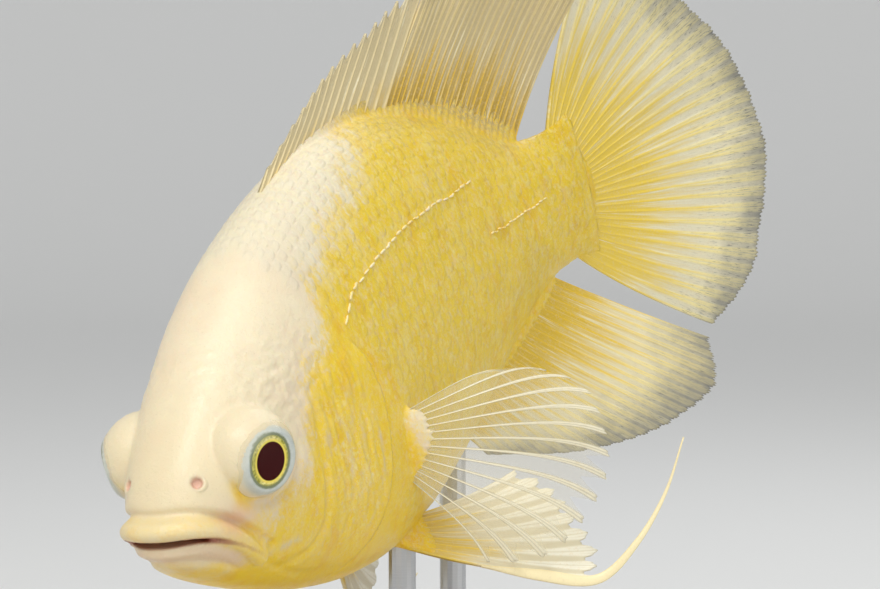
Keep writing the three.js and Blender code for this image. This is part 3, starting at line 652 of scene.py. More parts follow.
def make_skin(material):
    """One skin over head, trunk and tail root, with lips, orbits, nostrils, gill covers and fin roots."""
    places = np.concatenate([np.array([0.02, 0.3, 0.8, 1.5, 2.4]), np.arange(3.4, 101, 1.1), [101]])
    turns = np.linspace(0, 2, 120, endpoint=False)
    s, turn = np.meshgrid(places, turns, indexing="ij")
    shapes = [closed_grid(skin_point(s, turn))]
    shapes.append(tube(UPPER_LIP, lip_taper(1.25, 0.9), lip_taper(1.12, 1.15)))
    shapes.append(tube(LOWER_LIP, lip_taper(1.1, 0.4), lip_taper(0.92, 0.45)))
    for side in (1, -1):
        centre = mirrored(EYE_CENTRE - GAZE * ORBIT_SET_BACK, side)
        shapes.append(ball(centre, (ORBIT_RADIUS,) * 3))
        rim = mirrored(NOSTRIL, side)
        axis = mirrored(NOSTRIL_AXIS, side)
        shapes.append(tube(rim + axis * np.linspace(-0.9, 0.42, 6)[:, None], nostril_cone, nostril_cone,
                           up=(0.1, side * 0.9, -0.3)))
    shapes += [sheath(*root) for root in FIN_ROOTS]
    points, faces = join_shapes(shapes)
    fused = link_mesh("flesh", points * UNIT, faces)
    points, groups = remeshed(fused, FIRST_VOXEL)
    fused = link_mesh("flesh", points, groups)
    cuts = [tube(SLIT[::4], lip_taper(2.4, 0.5), slit_height, 20)]
    for side in (1, -1):
        axis = mirrored(NOSTRIL_AXIS, side)
        cuts.append(tube(mirrored(NOSTRIL, side) + axis * np.linspace(-1.3, 1.0, 5)[:, None],
                         constant(NOSTRIL_RADIUS), constant(NOSTRIL_RADIUS), up=(0.1, side * 0.9, -0.3)))
        gaze = mirrored(GAZE, side)
        cuts.append(tube(mirrored(EYE_CENTRE, side) + gaze * np.linspace(1.4, 6.5, 5)[:, None],
                         constant(ORBIT_OPENING), constant(ORBIT_OPENING), 48))
    for number, (cut_points, cut_faces) in enumerate(cuts):
        cutter = link_mesh("cutter", cut_points * UNIT, cut_faces)
        modifier = fused.modifiers.new("cut_%d" % number, "BOOLEAN")
        modifier.operation = "DIFFERENCE"
        modifier.solver = "EXACT"
        modifier.object = cutter
        cutter.hide_render = True
    points, groups = mesh_arrays(fused)
    for thing in [o for o in bpy.data.objects if o.name.startswith("cutter")]:
        bpy.data.objects.remove(thing, do_unlink=True)
    bpy.data.objects.remove(fused, do_unlink=True)
    fused = link_mesh("flesh", points, groups)
    points, groups = remeshed(fused, LAST_VOXEL)
    points = points / UNIT
    s = -points[:, 0]
    softness = 0.35 + 0.65 * smooth(8, 14, s)  # the mouth is eased less, so that its edges stay
    points = eased(points, groups, 8, 0.5, softness)
    normals = point_normals(points, groups)
    points = points + normals * relief(points)[:, None]
    points = eased(points, groups, 2, 0.4)
    skin = link_mesh("skin", to_world(points), groups)
    dress(skin, points, markings(points), shades(points), material)
    return skin


# ---- Markings, as masks over the straight fish ----

def spot(s, z, at, size):
    return np.exp(-(((s - at[0]) / size[0]) ** 2 + ((z - at[1]) / size[1]) ** 2))


# The border between the yellow of the flank and the cream of the head and nape, in side view.
warm_edge = profile([(0, -4), (6, -6.3), (8.5, -2.4), (12, -2.8), (17, -2.2), (20, 3), (23, 7), (28, 10), (30.5, 13.5),
                     (38, 17.5), (47, 20.3), (53, 23), (60, 28), (101, 40)])
WARM_SPOTS = [  # place in side view (distance behind the snout, height), size, amount
    ((24.4, -1), (1.9, 4.5), 1.0), ((8.0, 2.0), (1.6, 2.6), 0.85), ((9, -11.5), (8, 3.6), 0.9),
    ((4, -5.4), (4.5, 2.3), 0.62), ((11.5, -8), (3, 1), 1.0)]
STREAK_SPOTS = [((26, -4), (8, 12), 1.0), ((18, -5), (8, 9), 0.7), ((24, 10), (8, 6), 0.5)]


def markings(points):
    """Three masks for the colours of the skin: warm yellow, pale streaks, and pink."""
    s, y, z = -points[:, 0], np.abs(points[:, 1]), points[:, 2]
    warm = smooth(6.0, -6.0, z - warm_edge(s))
    for at, size, amount in WARM_SPOTS:
        warm = np.maximum(warm, amount * spot(s, z, at, size))
    lips = np.flatnonzero((s < 12) & (z > -11) & (z < 4))
    upper = np.exp(-(lip_gap(points[lips], UPPER_LIP[::2])[0] / 1.9) ** 4)
    lower = np.exp(-(lip_gap(points[lips], LOWER_LIP[::2])[0] / 1.2) ** 4) * smooth(8.2, 4.8, s[lips])
    warm[lips] = warm[lips] * (1 - upper) + 0.62 * upper * (0.6 + 0.4 * smooth(0, 7, s[lips]))
    warm[lips] *= 1 - lower
    lobe = smooth(9.9, 11.2, y) * spot(s, z, (41, -7.6), (5, 6))
    warm = warm * (1 - 0.75 * lobe)
    streak = smooth(24, 40, s) * 0.8 * (1 - 0.6 * lobe)
    for at, size, amount in STREAK_SPOTS:
        streak = np.maximum(streak, amount * spot(s, z, at, size))
    pink = 0.62 * spot(s, z, (6.0, -0.4), (2.6, 1.6))
    pink[lips] += 0.42 * lower
    for side in (1, -1):
        pink += np.exp(-(np.linalg.norm(points - mirrored(NOSTRIL, side), axis=1) / 0.72) ** 4)
    return np.clip(np.stack([warm, streak, pink], axis=-1), 0, 1)


def shades(points):
    """Three more masks: the mouth's red-brown slit with painted shade in it and a painted shade line along the gill
    cover's edge, brown fin roots on the back with a painted shade band below them, and pale folds.
    """
    s, y, z = -points[:, 0], np.abs(points[:, 1]), points[:, 2]
    dark = np.zeros(len(points))
    near = np.flatnonzero((s < 12) & (z < 1.5) & (z > -8))
    p = points[near]
    nearest = np.argmin(((p[:, None, :2] - SLIT[None, :, :2]) ** 2).sum(-1), axis=1)
    level = np.abs(p[:, 2] - SLIT[nearest, 2])
    far = np.linalg.norm(p[:, :2] - SLIT[nearest, :2], axis=1)
    along = np.abs(2 * nearest / (len(SLIT) - 1) - 1)
    middle = smooth(0.86, 0.5, along)
    # the red-brown inside of the mouth with painted shade in its slit, weaker towards the corners where only a crease
    # is left
    dark[near] = (smooth(0.3 + 0.4 * middle, 0.1 + 0.12 * middle, level) * smooth(2.0, 1.2, far)
                  * (0.3 + 0.7 * middle) * smooth(1.0, 0.9, along))
    # a painted shade line just outside the gill cover's edge, in the crease where the cover overhangs the flank
    near = (s < 38) & (s > 18) & (y > 2)
    distance = path_distance(COVER_PATH, s[near], z[near])[0]
    out = np.where(inside_cover(s[near], z[near]), -distance, distance)
    line = (0.2 + 0.4 * smooth(-3, -9, z[near])) * np.exp(-((out - 0.12) / 0.3) ** 2)
    dark[near] = np.maximum(dark[near], line * smooth(23, 29, s[near]) * smooth(7, 2, z[near]))
    crest = z - back_line(s)
    root = smooth(-0.6, 2.2, crest) * smooth(46, 58, s) * smooth(91, 87, s)
    # a painted shade band along the back's top edge, just below the fin root, over the real beige root above it
    root = np.maximum(root, 0.4 * np.exp(-((crest + 1.0) / 1.6) ** 2) * smooth(48, 60, s) * smooth(91, 86, s))
    fold = np.zeros(len(points))
    near = (s < 36) & (y > 2)
    for path, width in FOLDS:
        fold[near] = np.maximum(fold[near], line_mark(path, width, s[near], z[near]))
    return np.stack([dark, root, fold], axis=-1)


# ---- Material building ----

BLUSH = (0.84, 0.66, 0.46, 1)
SNOUT_TAN = (0.80, 0.66, 0.40, 1)
ROSE = (0.83, 0.60, 0.42, 1)
GRIME = (0.42, 0.34, 0.16, 1)
# painted shade in the furrows between the rays near a fin's root
FURROW_SHADE_BROWN = (0.42, 0.27, 0.05, 1)
BRIGHT_STREAK = (0.95, 0.90, 0.68, 1)
FRECKLE = (0.80, 0.66, 0.42, 1)
SCALE_EDGE = (0.93, 0.84, 0.62, 1)


def group_tree(name, inputs, outputs):
    tree = bpy.data.node_groups.new(name, "ShaderNodeTree")
    for label, kind, value in inputs:
        made = tree.interface.new_socket(name=label, in_out="INPUT", socket_type=kind)
        if value is not None:
            made.default_value = value
    for label, kind in outputs:
        tree.interface.new_socket(name=label, in_out="OUTPUT", socket_type=kind)
    return tree, tree.nodes.new("NodeGroupInput").outputs, tree.nodes.new("NodeGroupOutput").inputs


class Wiring:
    """Short ways to add and join nodes in one tree."""

    def __init__(self, tree):
        self.tree = tree

    def put(self, target, value):
        if isinstance(value, bpy.types.NodeSocket):
            self.tree.links.new(value, target)
        else:
            target.default_value = value

    def apply(self, operation, a, b=0.0, limit=False):
        node = self.tree.nodes.new("ShaderNodeMath")
        node.operation = operation
        node.use_clamp = limit
        self.put(node.inputs[0], a)
        self.put(node.inputs[1], b)
        return node.outputs[0]

    def plus(self, a, b, limit=False):
        return self.apply("ADD", a, b, limit)

    def less(self, a, b):
        return self.apply("SUBTRACT", a, b)

    def times(self, a, b):
        return self.apply("MULTIPLY", a, b)

    def swing(self, pattern, size):
        """A pattern made to swing about zero."""
        return self.times(self.less(pattern, 0.5), size)

    def blend(self, amount, a, b):
        node = self.tree.nodes.new("ShaderNodeMix")
        node.data_type = "RGBA"
        self.put(node.inputs[0], amount)
        self.put(node.inputs[6], a)
        self.put(node.inputs[7], b)
        return node.outputs[2]

    def span(self, value, low, high, to_low=0.0, to_high=1.0):
        node = self.tree.nodes.new("ShaderNodeMapRange")
        node.interpolation_type = "SMOOTHSTEP"
        self.put(node.inputs[0], value)
        for k, v in enumerate((low, high, to_low, to_high)):
            self.put(node.inputs[k + 1], v)
        return node.outputs[0]

    def noise(self, place, scale, detail=3.0, rough=0.55, stretch=(1, 1, 1), tilt=(0, 0, 0)):
        mapping = self.tree.nodes.new("ShaderNodeMapping")
        self.put(mapping.inputs["Vector"], place)
        mapping.inputs["Scale"].default_value = stretch
        mapping.inputs["Rotation"].default_value = tilt
        node = self.tree.nodes.new("ShaderNodeTexNoise")
        self.put(node.inputs["Vector"], mapping.outputs[0])
        node.inputs["Scale"].default_value = scale
        node.inputs["Detail"].default_value = detail
        node.inputs["Roughness"].default_value = rough
        return node.outputs[0]

    def split(self, vector):
        node = self.tree.nodes.new("ShaderNodeSeparateXYZ")
        self.put(node.inputs[0], vector)
        return node.outputs

    def kept(self, name):
        node = self.tree.nodes.new("ShaderNodeAttribute")
        node.attribute_name = name
        return node.outputs["Vector"]

    def use(self, group, **values):
        node = self.tree.nodes.new("ShaderNodeGroup")
        node.node_tree = group
        for label, value in values.items():
            self.put(node.inputs[label.replace("_", " ")], value)
        return node.outputs

    def bump(self, height, strength, distance):
        node = self.tree.nodes.new("ShaderNodeBump")
        node.inputs["Strength"].default_value = strength
        node.inputs["Distance"].default_value = distance
        self.put(node.inputs["Height"], height)
        return node.outputs[0]


def skin_markings_group():
    """Cream to yellow skin with pale and orange streaks, worked out from the straight fish's own frame."""
    tree, given, out = group_tree("skin_markings", [
        ("Place", "NodeSocketVector", None), ("Marks", "NodeSocketVector", None),
        ("Shade", "NodeSocketVector", None), ("Mouth", "NodeSocketColor", (0.34, 0.10, 0.06, 1)),
        ("Fin root", "NodeSocketColor", (0.56, 0.43, 0.20, 1)), ("Fold", "NodeSocketColor", (0.66, 0.64, 0.60, 1)),
        ("Cream", "NodeSocketColor", (0.90, 0.79, 0.56, 1)), ("Yellow", "NodeSocketColor", (0.95, 0.66, 0.022, 1)),
        ("Orange", "NodeSocketColor", (0.88, 0.50, 0.015, 1)), ("Pale", "NodeSocketColor", (0.96, 0.84, 0.46, 1)),
        ("Pink", "NodeSocketColor", (0.78, 0.46, 0.34, 1))],
        [("Color", "NodeSocketColor"), ("Height", "NodeSocketFloat"), ("Wet", "NodeSocketFloat")])
    w = Wiring(tree)
    place = given["Place"]
    warm, streak, pink = w.split(given["Marks"])
    broad = w.noise(place, 7, 4, 0.6)
    patches = w.noise(place, 24, 5, 0.7, (1.5, 1, 0.8))
    tilt = (0, math.radians(-30), 0)
    fibres = w.noise(place, 105, 5, 0.8, (1.2, 1, 0.95), tilt)
    fine = w.noise(place, 200, 4, 0.8, (1.2, 1, 0.9), tilt)
    dots = w.noise(place, 150, 2, 0.6)
    mottle = w.plus(w.swing(broad, 0.9), w.swing(patches, 1.5))
    mottle = w.plus(mottle, w.swing(fibres, 1.9))
    mottle = w.times(mottle, w.span(streak, 0.0, 0.4, 0.18, 1.0))
    warmth = w.span(w.plus(warm, mottle), 0.10, 0.90)
    warmth = w.times(warmth, w.span(warm, 0.0, 0.16))
    colour = w.blend(w.span(broad, 0.4, 0.62, 0.0, 0.5), given["Cream"], BLUSH)
    snout = w.span(w.split(place)[0], -0.20, -0.02, 0.0, 0.6)
    colour = w.blend(snout, colour, SNOUT_TAN)
    colour = w.blend(warmth, colour, given["Yellow"])
    deep = w.times(w.span(patches, 0.50, 0.66), w.times(warm, 0.5))
    colour = w.blend(deep, colour, given["Orange"])
    cloudy = w.times(w.span(w.noise(place, 45, 4, 0.7), 0.50, 0.64), w.times(streak, 0.24))
    colour = w.blend(cloudy, colour, given["Pale"])
    pale = w.times(w.span(fibres, 0.50, 0.61), w.times(streak, 0.48))
    colour = w.blend(pale, colour, given["Pale"])
    flecks = w.times(w.span(fine, 0.53, 0.62), w.times(w.times(streak, warm), 0.5))
    colour = w.blend(flecks, colour, given["Orange"])
    rosy = w.times(w.span(dots, 0.54, 0.63), w.times(streak, 0.34))
    colour = w.blend(rosy, colour, ROSE)
    colour = w.blend(pink, colour, given["Pink"])
    mouth, root, fold = w.split(given["Shade"])
    colour = w.blend(w.times(fold, w.span(patches, 0.40, 0.62, 0.0, 0.5)), colour, given["Fold"])
    # beige fin roots on the back, with a painted shade band along the back's edge below them
    colour = w.blend(w.times(root, w.span(fine, 0.40, 0.60, 0.25, 0.95)), colour, given["Fin root"])
    # the mouth's red-brown with painted shade in its slit, and a painted shade line along the gill cover's edge
    colour = w.blend(mouth, colour, given["Mouth"])
    grime = w.noise(place, 420, 2, 0.5)
    colour = w.blend(w.span(grime, 0.62, 0.8, 0.0, 0.22), colour, GRIME)
    w.put(out["Color"], colour)
    w.put(out["Height"], w.plus(w.times(fibres, 0.6), w.times(fine, 0.4)))
    w.put(out["Wet"], w.span(fibres, 0.3, 0.7))
    return tree


def new_material(name):
    material = bpy.data.materials.new(name)
    material.use_nodes = True
    return material, Wiring(material.node_tree), material.node_tree.nodes["Principled BSDF"]


def skin_shader(name, group, roughness, subsurface):
    """The wet look that the skin and its scales share, with the marked skin's outputs."""
    material, w, shader = new_material(name)
    outputs = w.use(group, Place=w.kept("straight"), Marks=w.kept("marks"), Shade=w.kept("shade"))
    w.put(shader.inputs["Roughness"], w.span(outputs["Wet"], 0, 1, *roughness))
    shader.inputs["Subsurface Weight"].default_value = subsurface
    shader.inputs["Subsurface Radius"].default_value = (0.004, 0.002, 0.001)
    shader.inputs["Subsurface Scale"].default_value = 1.0
    shader.inputs["Coat Weight"].default_value = 0.12
    shader.inputs["Coat Roughness"].default_value = 0.15
    w.put(shader.inputs["Normal"], w.bump(outputs["Height"], 0.5, 0.0006))
    return material, w, shader, outputs["Color"]


def skin_material(group):
    material, w, shader, colour = skin_shader("wet_skin", group, (0.30, 0.46), 0.15)
    w.put(shader.inputs["Base Color"], colour)
    return material


def scale_material(group):
    """Wet scales, a little paler along their free edges."""
    material, w, shader, colour = skin_shader("wet_scales", group, (0.28, 0.42), 0.12)
    along = w.split(w.kept("scale"))[1]
    w.put(shader.inputs["Base Color"], w.blend(w.span(along, 0.72, 0.98, 0.0, 0.25), colour, SCALE_EDGE))
    return material


def tube_material(group):
    """The pale pored tubes of the lateral line."""
    material, w, shader = new_material("lateral_tubes")
    outputs = w.use(group, Place=w.kept("straight"), Marks=w.kept("marks"), Shade=w.kept("shade"),
                    Cream=(0.92, 0.84, 0.60, 1), Yellow=(0.92, 0.76, 0.30, 1))
    w.put(shader.inputs["Base Color"], outputs["Color"])
    w.put(shader.inputs["Roughness"], w.span(outputs["Wet"], 0, 1, 0.3, 0.5))
    w.put(shader.inputs["Normal"], w.bump(outputs["Height"], 0.25, 0.0002))
    return material


def fin_group():
    """Fin membrane and rays: yellow flesh at the root with painted shade between its rays, pale rays, a smoky flecked
    margin that lets light through.
    """
    tree, given, out = group_tree("fin_web", [
        ("Place", "NodeSocketVector", None), ("Fin", "NodeSocketVector", None),
        ("Root", "NodeSocketColor", (0.88, 0.60, 0.035, 1)), ("Ray", "NodeSocketColor", (0.90, 0.76, 0.30, 1)),
        ("Web", "NodeSocketColor", (0.72, 0.64, 0.42, 1)), ("Margin", "NodeSocketColor", (0.22, 0.22, 0.20, 1)),
        ("Root reach", "NodeSocketFloat", 0.45), ("Margin start", "NodeSocketFloat", 0.72),
        ("Margin amount", "NodeSocketFloat", 0.8), ("Web alpha", "NodeSocketFloat", 0.8),
        ("Tip alpha", "NodeSocketFloat", 0.5), ("Fleck amount", "NodeSocketFloat", 0.5),
        # Furrow: how much painted shade falls between the rays near the root
        ("Furrow", "NodeSocketFloat", 0.0)],
        [("Color", "NodeSocketColor"), ("Alpha", "NodeSocketFloat"), ("Height", "NodeSocketFloat")])
    w = Wiring(tree)
    fin = given["Fin"]
    ray, reach = w.split(fin)[:2]
    streaks = w.noise(fin, 5, 5, 0.7, (0.0, 0.7, 9.0))
    bands = w.noise(fin, 3, 3, 0.6, (0.0, 0.35, 3.0))
    clouds = w.noise(given["Place"], 20, 4, 0.6)
    specks = w.noise(fin, 24, 3, 0.6, (0.2, 1.0, 6.0))
    fine = w.noise(given["Place"], 240, 3, 0.7)
    uneven = w.plus(reach, w.swing(streaks, 0.75))
    uneven = w.plus(uneven, w.swing(bands, 0.7))
    uneven = w.less(uneven, w.times(w.less(ray, 0.4), 0.12))
    web = w.blend(ray, given["Web"], given["Ray"])
    root = w.less(1.0, w.span(uneven, w.times(given["Root reach"], 0.45), w.plus(given["Root reach"], 0.16)))
    colour = w.blend(root, web, given["Root"])
    # painted shade in the furrows between the rays near the root
    shadow = w.times(w.less(1.0, ray), w.times(root, given["Furrow"]))
    colour = w.blend(shadow, colour, FURROW_SHADE_BROWN)
    bright = w.times(w.span(streaks, 0.52, 0.68), w.span(bands, 0.42, 0.62, 0.15, 0.8))
    colour = w.blend(bright, colour, BRIGHT_STREAK)
    colour = w.blend(w.times(w.span(fine, 0.52, 0.66), 0.35), colour, FRECKLE)
    smoke = w.span(w.plus(reach, w.swing(clouds, 0.3)), given["Margin start"], 1.06)
    flecks = w.times(w.span(specks, 0.56, 0.66), w.span(reach, 0.5, 0.95))
    flecks = w.times(flecks, given["Fleck amount"])
    smoke = w.times(smoke, w.times(given["Margin amount"], w.less(1.0, w.times(ray, 0.25))))
    dark = w.plus(smoke, w.times(flecks, 0.85), limit=True)
    colour = w.blend(dark, colour, given["Margin"])
    w.put(out["Color"], colour)
    open_ = w.span(reach, 0.35, 1.0)
    solid = w.plus(w.less(1.0, open_), w.times(open_, given["Tip alpha"]))
    cover = w.plus(given["Web alpha"], w.times(ray, w.less(1.1, given["Web alpha"])))
    alpha = w.apply("MAXIMUM", w.times(solid, cover), w.times(root, 0.99), limit=True)
    w.put(out["Alpha"], alpha)
    w.put(out["Height"], w.plus(w.times(streaks, 0.5), w.times(fine, 0.5)))
    return tree


def fin_material(name, group, **values):
    material, w, shader = new_material(name)
    outputs = w.use(group, Place=w.kept("straight"), Fin=w.kept("fin"), **values)
    w.put(shader.inputs["Base Color"], outputs["Color"])
    w.put(shader.inputs["Alpha"], outputs["Alpha"])
    shader.inputs["Roughness"].default_value = 0.4
    shader.inputs["Subsurface Weight"].default_value = 0.0
    w.put(shader.inputs["Normal"], w.bump(outputs["Height"], 0.3, 0.0003))
    return material


# ---- Scales ----

def arc_rate(s):
    """Length of skin for one turn-unit of a side, at each place."""
    turn = np.linspace(0, 1, 41)
    p = skin_point(np.asarray(s)[..., None], turn)
    return np.linalg.norm(np.diff(p, axis=-2), axis=-1).sum(-1)


SCALE_ROWS = 34
SCALES_START = 22.0
SCALES_END = 99.5
ROW_SHIFT = 1.15  # every other row starts half a scale further back
SCALE_HEIGHT = 1.75
BODY_SCALE, NAPE_SCALE = 2.3, 1.7  # lengths of a scale behind and before NAPE_END
NAPE_END = 36
FEWEST_ROWS = 8
PLATE_POINTS = 7
PLATE_BACK = -0.55  # where a plate starts before its own place, as a share of its length
RIM_SINK = 0.07
UNWRAP_SIZE = 0.0015


def scale_rows():
    """Places of the scales along each flank, with their length and width. Rows drop out as the body narrows."""
    rng = np.random.default_rng(7)
    found = []
    for side in (0, 1):
        for row in range(SCALE_ROWS):
            share = (row + 0.5) / SCALE_ROWS
            s = SCALES_START + (row % 2) * ROW_SHIFT
            while s < SCALES_END:
                length = BODY_SCALE if s > NAPE_END else NAPE_SCALE
                girth = float(arc_rate(np.array(s)))
                rows_here = max(FEWEST_ROWS, girth / SCALE_HEIGHT)
                kept = rows_here >= SCALE_ROWS - 0.5
                if kept or (row * rows_here / SCALE_ROWS) % 1.0 < rows_here / SCALE_ROWS + 1e-9:
                    turn = share if side == 0 else 2 - share
                    found.append((s + rng.uniform(-0.15, 0.15), turn + rng.uniform(-0.0012, 0.0012), length,
                                  girth / rows_here))
                s += length
    return np.array(found)


def bare(s, z):
    """Where no scales grow: the gill covers, the head and the roots of the paired fins."""
    cover = np.zeros(len(s), bool)
    near = s < 40
    cover[near] = inside_cover(s[near], z[near]) | (path_distance(COVER_PATH, s[near], z[near])[0] < 1.4)
    head = s < 34 - 7 * smooth(2, 18, z) + 2 * smooth(-6, -18, z)
    return cover | head | (np.hypot(s - 37, z + 7.6) < 5.2) | (np.hypot(s - 41, z + 21.2) < 4)


def scale_plates(rows, along, across):
    """Points of thin rounded plates on the skin, each with its free edge lifted and its rim sunk."""
    s0, turn0, length, width = (rows[:, k][:, None, None] for k in range(4))
    wide = np.sqrt(np.clip(1 - np.clip(along, 0, 1) ** 2.6, 0, 1)) * 0.92 + 0.08
    s = s0 + along[None] * length * 0.95
    turn = turn0 + (across * wide)[None] * 0.62 * width / arc_rate(rows[:, 0])[:, None, None]
    lift = -0.03 + 0.095 * smooth(-0.3, 0.9, along)[None] * (1 - 0.5 * np.abs(across)[None] ** 3)
    rim = (np.abs(across) > 0.99) | (along > 0.99) | (along < PLATE_BACK + 0.01)
    lift = np.where(rim[None], -RIM_SINK, lift) + 0 * s
    s = np.minimum(s, 100.9)
    base = skin_point(s, turn)
    normal = np.cross(skin_point(s + 0.05, turn) - base, skin_point(s, turn + 0.002) - base)
    normal /= np.maximum(np.linalg.norm(normal, axis=-1, keepdims=True), 1e-9)
    outward = base - np.stack([base[..., 0], 0 * base[..., 1], widest_level(s)], axis=-1)
    normal *= np.sign((normal * outward).sum(-1))[..., None]
    return base + normal * lift[..., None], lift


def make_scales(material):
    """A coat of overlapping scales on each side."""
    rows = scale_rows()
    rows = rows[~bare(rows[:, 0], skin_point(rows[:, 0], rows[:, 1])[:, 2])]
    n = PLATE_POINTS
    along, across = np.meshgrid(np.linspace(PLATE_BACK, 1.0, n), np.linspace(-1, 1, n), indexing="ij")
    grid = (np.arange(n - 1)[:, None] * n + np.arange(n - 1)[None, :]).ravel()
    quad = np.stack([grid, grid + n, grid + n + 1, grid + 1], axis=-1)
    coats = []
    for side, word in enumerate(("left", "right")):
        mine = rows[(rows[:, 1] > 1) == bool(side)]
        points, lift = scale_plates(mine, along, across)
        turned = quad[:, ::-1] if side else quad
        faces = (turned[None] + (np.arange(len(mine)) * n * n)[:, None, None]).reshape(-1, 4)
        flat = points.reshape(-1, 3)
        coat = link_mesh("scales_" + word, to_world(flat), faces)
        dress(coat, flat, markings(flat), shades(flat), material)
        local = np.stack(np.broadcast_arrays(across[None], along[None], lift), axis=-1)
        keep_values(coat, "scale", local.reshape(-1, 3))
        s0, turn0 = mine[:, 0][:, None, None], mine[:, 1][:, None, None]
        unwrap = np.stack([s0 / 100 + along[None] * UNWRAP_SIZE, turn0 / 2 + across[None] * UNWRAP_SIZE], axis=-1)
        layer = coat.data.uv_layers.new(name="OFBake")
        layer.data.foreach_set("uv", unwrap.reshape(-1, 2)[faces.ravel()].astype(np.float32).ravel())
        coats.append(coat)
    return coats


def surface_turns(line, side):
    """The turns at which the skin reaches the heights of a line of places (s, z)."""
    turns = np.linspace(0, 1, 400)
    found = np.array([turns[np.argmin(np.abs(skin_point(np.full(400, s), turns)[:, 2] - z))] for s, z in line])
    return found if side > 0 else 2 - found


TUBE_STEPS = 8
LATERAL_LINES = [  # path in side view, number of tubes, half width
    ([(33.2, 9.3), (35.4, 10.5), (37.2, 11.5), (40.3, 12.1), (44.7, 12.4), (49.2, 12.7), (54.5, 12.7),
      (58.6, 12.5), (62.7, 12.4), (67.6, 11.5), (73.9, 11.1)], 24, 0.16),
    ([(73.5, 3.9), (77.4, 3.4), (81.5, 3.0), (85.4, 2.6), (89.8, 2.3)], 15, 0.13),
]


def make_lateral_line(material):
    """Two rows of small raised tubes along each side, the upper one ending where the lower one starts."""
    def oval(size, end):
        return lambda t: size * (end + (1 - end) * np.sin(math.pi * t) ** 0.7)

    shapes = []
    rng = np.random.default_rng(9)
    for path, count, thick in LATERAL_LINES:
        fine = spline(path, count * TUBE_STEPS + 1)
        for side in (1, -1):
            for k in range(count):
                part = fine[k * TUBE_STEPS:(k + 1) * TUBE_STEPS - 1] + np.array([0, rng.uniform(-0.12, 0.12)])
                size = thick * rng.uniform(0.7, 1.15)
                middle = skin_point(part[:, 0], surface_turns(part, side), 0.12)
                shapes.append(tube(middle, oval(size, 0.6), oval(0.15, 0.55), 8, (0, side, 0.15)))
    points, faces = join_shapes(shapes)
    line = link_mesh("lateral_line", to_world(points), faces)
    dress(line, points, markings(points) * (0.55, 1, 1), 0 * points, material)
    return line


# ---- Fins ----

def make_fin(name, at, first, last, rays, material, web, ray, notch, wave, seed, rows=70, per=14, spiny=False,
             slim=1.0):
    """A fin as one thin closed sheet. Its rays stand up on both faces and fork on their way to the margin.

    web and ray are thicknesses in millimetres, notch is the depth of the margin between two rays, wave the swell
    of the sheet, rows and per the points along a ray and from ray to ray, and slim narrows the rays.
    """
    rng = np.random.default_rng(seed)
    columns = (rays - 1) * per + 1
    v = np.linspace(first, last, columns)
    place = np.linspace(0, rays - 1, columns)
    nearest = np.round(place)
    phase = (place - nearest)[:, None]
    u = np.linspace(0, 1, rows)[None, :]
    fork = 0.0 if spiny else slim
    split1 = 0.17 * fork * smooth(0.3, 1.0, u)
    split2 = 0.09 * fork * smooth(0.6, 1.05, u)
    width = (0.13 - 0.05 * u) * (0.25 + 0.75 * slim)
    ridge = np.zeros((columns, rows))
    for a in (-1, 1):
        for b in (-1, 1):
            ridge = np.maximum(ridge, np.exp(-((phase - a * split1 - b * split2) / width) ** 2))
    ragged = 1 - notch * (0.5 - 0.5 * np.cos(2 * math.pi * place)) ** (0.8 if spiny else 1.2)
    each = rng.uniform(0.99, 1.0, rays)
    ragged *= np.interp(place, np.arange(rays), each)
    if not spiny:
        ragged *= 1 - 0.012 * (0.5 - 0.5 * np.cos(2 * math.pi * place * 4 + rng.uniform(0, 6, 1)))
    uu = u * ragged[:, None]
    vv = np.broadcast_to(v[:, None], uu.shape)
    mid = at(vv, uu)
    normal = sheet_normals(mid)
    swell = wave * np.sin(place[:, None] * 0.9 + 2.5 * u + seed) * smooth(0.2, 1.0, u)
    mid = mid + normal * swell[..., None]
    taper = 1 - 0.72 * uu
    half = (web * (1 - 0.45 * uu) + ray * ridge * taper) / 2 * PER_MM
    front, rear = mid + normal * half[..., None], mid - normal * half[..., None]
    count = columns * rows
    points = np.concatenate([front.reshape(-1, 3), rear.reshape(-1, 3)])
    i = (np.arange(columns - 1)[:, None] * rows + np.arange(rows - 1)[None, :]).ravel()
    a, b, c, d = i, i + 1, i + rows + 1, i + rows
    faces = [np.stack([d, c, b, a], axis=-1), np.stack([a, b, c, d], axis=-1) + count]
    border = []
    for col in (0, columns - 1):
        k = col * rows + np.arange(rows - 1)
        strip = np.stack([k, k + 1, k + 1 + count, k + count], axis=-1)
        border.append(strip if col == 0 else strip[:, ::-1])
    for row in (0, rows - 1):
        k = np.arange(columns - 1) * rows + row
        strip = np.stack([k, k + rows, k + rows + count, k + count], axis=-1)
        border.append(strip[:, ::-1] if row == 0 else strip)
    fin = link_mesh(name, to_world(points), np.concatenate(faces + border))
    flat = np.stack([ridge, uu, np.broadcast_to((place / 10)[:, None], uu.shape)], axis=-1).reshape(-1, 3)
    keep_values(fin, "fin", np.concatenate([flat, flat]))
    keep_values(fin, "straight", points / 100)
    fin.data.materials.append(material)
    return fin


def make_filament(name, at, bends, material):
    """The long thread in which the first pelvic ray ends."""
    tip = at(np.array(-1.0), np.array(1.0))
    root = [at(np.array(-1.0), np.array(u)) for u in (0.45, 0.72)]
    path = spline(root + [tip] + [tip + np.asarray(b, float) for b in bends], 60)
    points, faces = tube(path, lambda t: 1.1 * smooth(-0.05, 0.3, t) * (1 - t) ** 1.5 + 0.10,
                         lambda t: 0.22 * (1 - t) ** 0.8 + 0.08, 16, (0.6, 0.5, 0.6))
    thread = link_mesh(name, to_world(points), faces)
    keep_values(thread, "straight", points / 100)
    keep_values(thread, "fin", np.tile((1.0, 0.5, 0.0), (len(points), 1)))
    thread.data.materials.append(material)
    return thread


